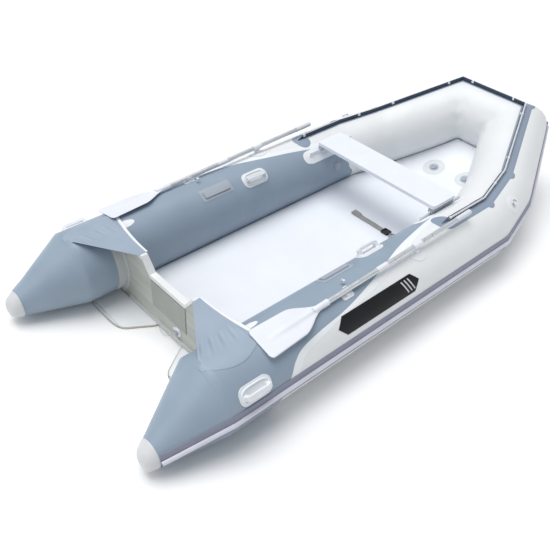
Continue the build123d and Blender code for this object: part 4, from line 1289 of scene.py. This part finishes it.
def lanyard():
    """Thin cord from the drain's eye, hanging in a loop below it."""
    curve = bpy.data.curves.new("plug_lanyard_cord", "CURVE")
    curve.dimensions = "3D"
    spline = curve.splines.new("NURBS")
    spline.points.add(len(LANYARD) - 1)
    for point, place in zip(spline.points, LANYARD):
        point.co = (*at(*place), 1.0)
    spline.order_u = 3
    spline.use_endpoint_u = True
    spline.resolution_u = 12
    curve.bevel_depth = LANYARD_R
    curve.bevel_resolution = 3
    curve.use_fill_caps = True
    curve.materials.append(MATERIAL["lanyard"])
    obj = link(bpy.data.objects.new("plug_lanyard_cord", curve))
    install(obj, "lanyard_cord", "plug_lanyard")


# ---- oars ----
def blade_outline(u):
    """Half width of the blade from its tip, u 0, to its root, u 1."""
    full = BLADE_WIDTH / 2
    if u < 0.06:
        return full * (0.78 + 0.22 * math.sqrt(1 - (1 - u / 0.06) ** 2))
    if u < 0.55:
        return full * (1 - 0.09 * (u - 0.06) / 0.49)
    t = (u - 0.55) / 0.45
    return full * 0.91 + (0.017 - full * 0.91) * (3 * t * t - 2 * t ** 3)


def shaft_point(x, sign):
    """Point on the stowed shaft's middle line, at a length from the stern."""
    return at(x, sign * OAR_Y, OAR_Z + (x - OAR_X) * OAR_SLOPE)


BLADE_ROLL, BLADE_HALF_THICK = -13.0, 0.0026
RIB_HALF_WIDTH, RIB_HEIGHT, RIB_ROOT = 0.0125, 0.0065, 0.006


def blade_rows(sign):
    """Closed skin of the blade: a thin plate that thickens to a rib along its middle."""
    roll = math.radians(BLADE_ROLL) * sign
    heading = Vector((1, 0, OAR_SLOPE)).normalized()
    across = Vector((0, math.cos(roll), math.sin(roll)))
    above = heading.cross(across).normalized()
    long, wide = 64, 28
    rows = []
    for k in range(long + 1):
        u = k / long
        middle = shaft_point(BLADE_TIP + (BLADE_ROOT - BLADE_TIP) * u, sign)
        half = blade_outline(u)
        rib = RIB_HEIGHT * held((u - 0.12) / 0.3) ** 0.8 + RIB_ROOT * max(0.0, (u - 0.7) / 0.3)
        row = []
        for c in range(2 * wide):
            top = c < wide
            t = -1 + 2 * (c if top else 2 * wide - c) / wide
            plate = BLADE_HALF_THICK * math.sqrt(max(0.0, 1 - abs(t) ** 6))
            height = plate + rib * math.exp(-(t * half / RIB_HALF_WIDTH) ** 2)
            row.append(middle + across * (t * half) + above * (height if top else -height))
        rows.append(row)
    return rows


SOCKET = [(1.016, 0.0142), (1.016, 0.0160), (1.020, 0.0172), (1.095, 0.0175), (1.112, 0.0175),
          (1.116, 0.0186), (1.119, 0.0186), (1.1205, 0.0172), (1.1205, 0.0142)]


def blades():
    """Each oar's blade, and the tapered sleeve where the shaft enters it."""
    for side, sign in SIDES:
        rows = blade_rows(sign)
        ends = [[sum(row, Vector()) / len(row)] * len(row) for row in (rows[0], rows[-1])]
        sleeve = [circle(shaft_point(x, sign), radius, 32) for x, radius in SOCKET]
        for name, part in ((f"oar_blade_moulding_{side}", [ends[0]] + rows + [ends[1]]),
                           (f"oar_socket_{side}", sleeve)):
            obj = cleaned(grid_object(name, part, MATERIAL["blade"], closed=True))
            install(obj, "oar_plastic", f"oar_blade_{side}", body=f"oar_{side}")


# ---- valve patches on the deck ----
VALVES = (("deck", 2.990, 0.060, 0.078), ("keel", 3.020, -0.190, 0.070))    # place and patch radius


def deck_patches():
    """Round reinforcement patches welded round the deck's two valves."""
    turns = [2 * math.pi * s / 64 for s in range(64)]
    for name, x0, y0, radius in VALVES:
        rows = []
        for r, lift in ((0.030, 0.0010), (radius - 0.010, 0.0010), (radius - 0.002, 0.0008),
                        (radius, -0.0006)):
            places = ((x0 + r * math.cos(a), y0 + r * math.sin(a)) for a in turns)
            rows.append([at(x, y, deck_height(x) + lift) for x, y in places])
        obj = cleaned(grid_object(f"valve_patch_{name}", rows, MATERIAL["valve_patch"], closed=True))
        install(obj, "white_patch")


# ---- CAD nodes that stay ----
# Start of the node's name: material and width of its edges' rounding.
KEPT = {
    "transom_board": ("board", 0.002), "transom_cap": ("edge_cap", 0.0015),
    "transom_flanges": ("flange", 0.0009), "motor_pad": ("pad", 0.0015), "drain_body": ("white", 0.0010),
    "drain_plug": ("gray", 0.0010), "reinforcement_patches": ("patch", 0.0006),
    "rub_rail_rib": ("rail_rib", 0.0),
    "seat_board": ("seat", 0.0035), "seat_rails": ("patch", 0.0005), "seat_hooks": ("gray", 0.0010),
    "rowlock_base": ("white", 0.0015), "oar_shaft": ("aluminium", 0.0005), "oar_grip": ("grip", 0.0015),
    "oar_collar": ("white", 0.0010), "oar_clips": ("white", 0.0010), "handle_aft": ("white", 0.0030),
    "handle_inner": ("white", 0.0030), "holder_pads": ("gray", 0.0018), "valve_bodies": ("gray", 0.0015),
    "valve_cap": ("gray", 0.0015), "tow_ring": ("steel", 0.0), "strap_buckle": ("dark", 0.0020),
    "strap_anchor": ("gray", 0.0005),
}


def finish_kept():
    """Gives every CAD node that stays its material and rounds its edges."""
    for name, obj in NODES.items():
        if obj.hide_render:
            continue
        key = next((k for k in sorted(KEPT, key=len, reverse=True) if name.startswith(k)), None)
        if key is None:
            raise SystemExit(f"no finish for {name}")
        material, width = KEPT[key]
        obj.data.materials.clear()
        obj.data.materials.append(MATERIAL[material])
        if width:
            rounded(obj, width)


# ---- stage ----
FLOOR_HALF, FLOOR_GAP = 30.0, 0.002
SKY_COLOUR, SKY_STRENGTH = (0.93, 0.96, 1.0, 1.0), 0.44
# Name, direction towards the light, strength, angle that it fills.
SUNS = (("key_light", (-0.05, 0.35, 1.6), 2.05, 50), ("side_light", (-1.2, 0.4, 1.0), 0.45, 40))


def floor():
    """Plain pale floor just under the hull."""
    paint = Paint("studio_floor", 0.9, 0.1)
    paint.colour(paint.mottled((250, 250, 250), 0.003, 0.5))
    corners = [(FLOOR_HALF * x, FLOOR_HALF * y, 0) for x, y in ((-1, -1), (1, -1), (1, 1), (-1, 1))]
    obj = mesh_object("studio_floor", corners, [(0, 1, 2, 3)], paint.material)
    obj.location.z = CAD_BOX[0].z - FLOOR_GAP


def lights():
    """Soft light from the whole sky, with two broad suns."""
    world = bpy.data.worlds.new("studio_sky")
    bpy.context.scene.world = world
    world.use_nodes = True
    sky = world.node_tree.nodes["Background"]
    sky.inputs["Color"].default_value = SKY_COLOUR
    sky.inputs["Strength"].default_value = SKY_STRENGTH
    for name, direction, strength, size in SUNS:
        light = bpy.data.lights.new(name, "SUN")
        light.energy, light.angle = strength, math.radians(size)
        obj = link(bpy.data.objects.new(name, light))
        obj.rotation_mode = "QUATERNION"
        obj.rotation_quaternion = Vector(direction).to_track_quat("Z", "Y")


CAMERA_PLACE = (-2.72609, -2.36790, 2.78557)
CAMERA_YAW, CAMERA_PITCH, CAMERA_ROLL = 46.125, -39.978, 3.078
CAMERA_LENS = 45.87


def camera():
    """The photograph's viewpoint, found by matching the hull's corners to it."""
    yaw, pitch, roll = (math.radians(a) for a in (CAMERA_YAW, CAMERA_PITCH, CAMERA_ROLL))
    ahead = Vector((math.cos(pitch) * math.cos(yaw), math.cos(pitch) * math.sin(yaw), math.sin(pitch)))
    right = ahead.cross(UP).normalized()
    top = right.cross(ahead)
    turned_right = right * math.cos(roll) + top * math.sin(roll)
    turned_top = top * math.cos(roll) - right * math.sin(roll)
    data = bpy.data.cameras.new("photo_camera")
    data.lens, data.sensor_width = CAMERA_LENS, 36.0
    data.clip_end = 100.0
    obj = link(bpy.data.objects.new("photo_camera", data))
    turn = Matrix((turned_right, turned_top, -ahead)).transposed().to_4x4()
    obj.matrix_world = Matrix.Translation(CAMERA_PLACE) @ turn
    bpy.context.scene.camera = obj

for build in (
    camera, lights, floor, tubes, deck, keel, bottom, gussets, aprons, ridge, flap, lifeline,
    rope_fittings, handle_rims, cone_caps, rail_base, side_panels, seat_patches, floor_strap,
    lanyard, blades, deck_patches, finish_kept,
):
    build()
bpy.context.scene.view_settings.view_transform = "Standard"
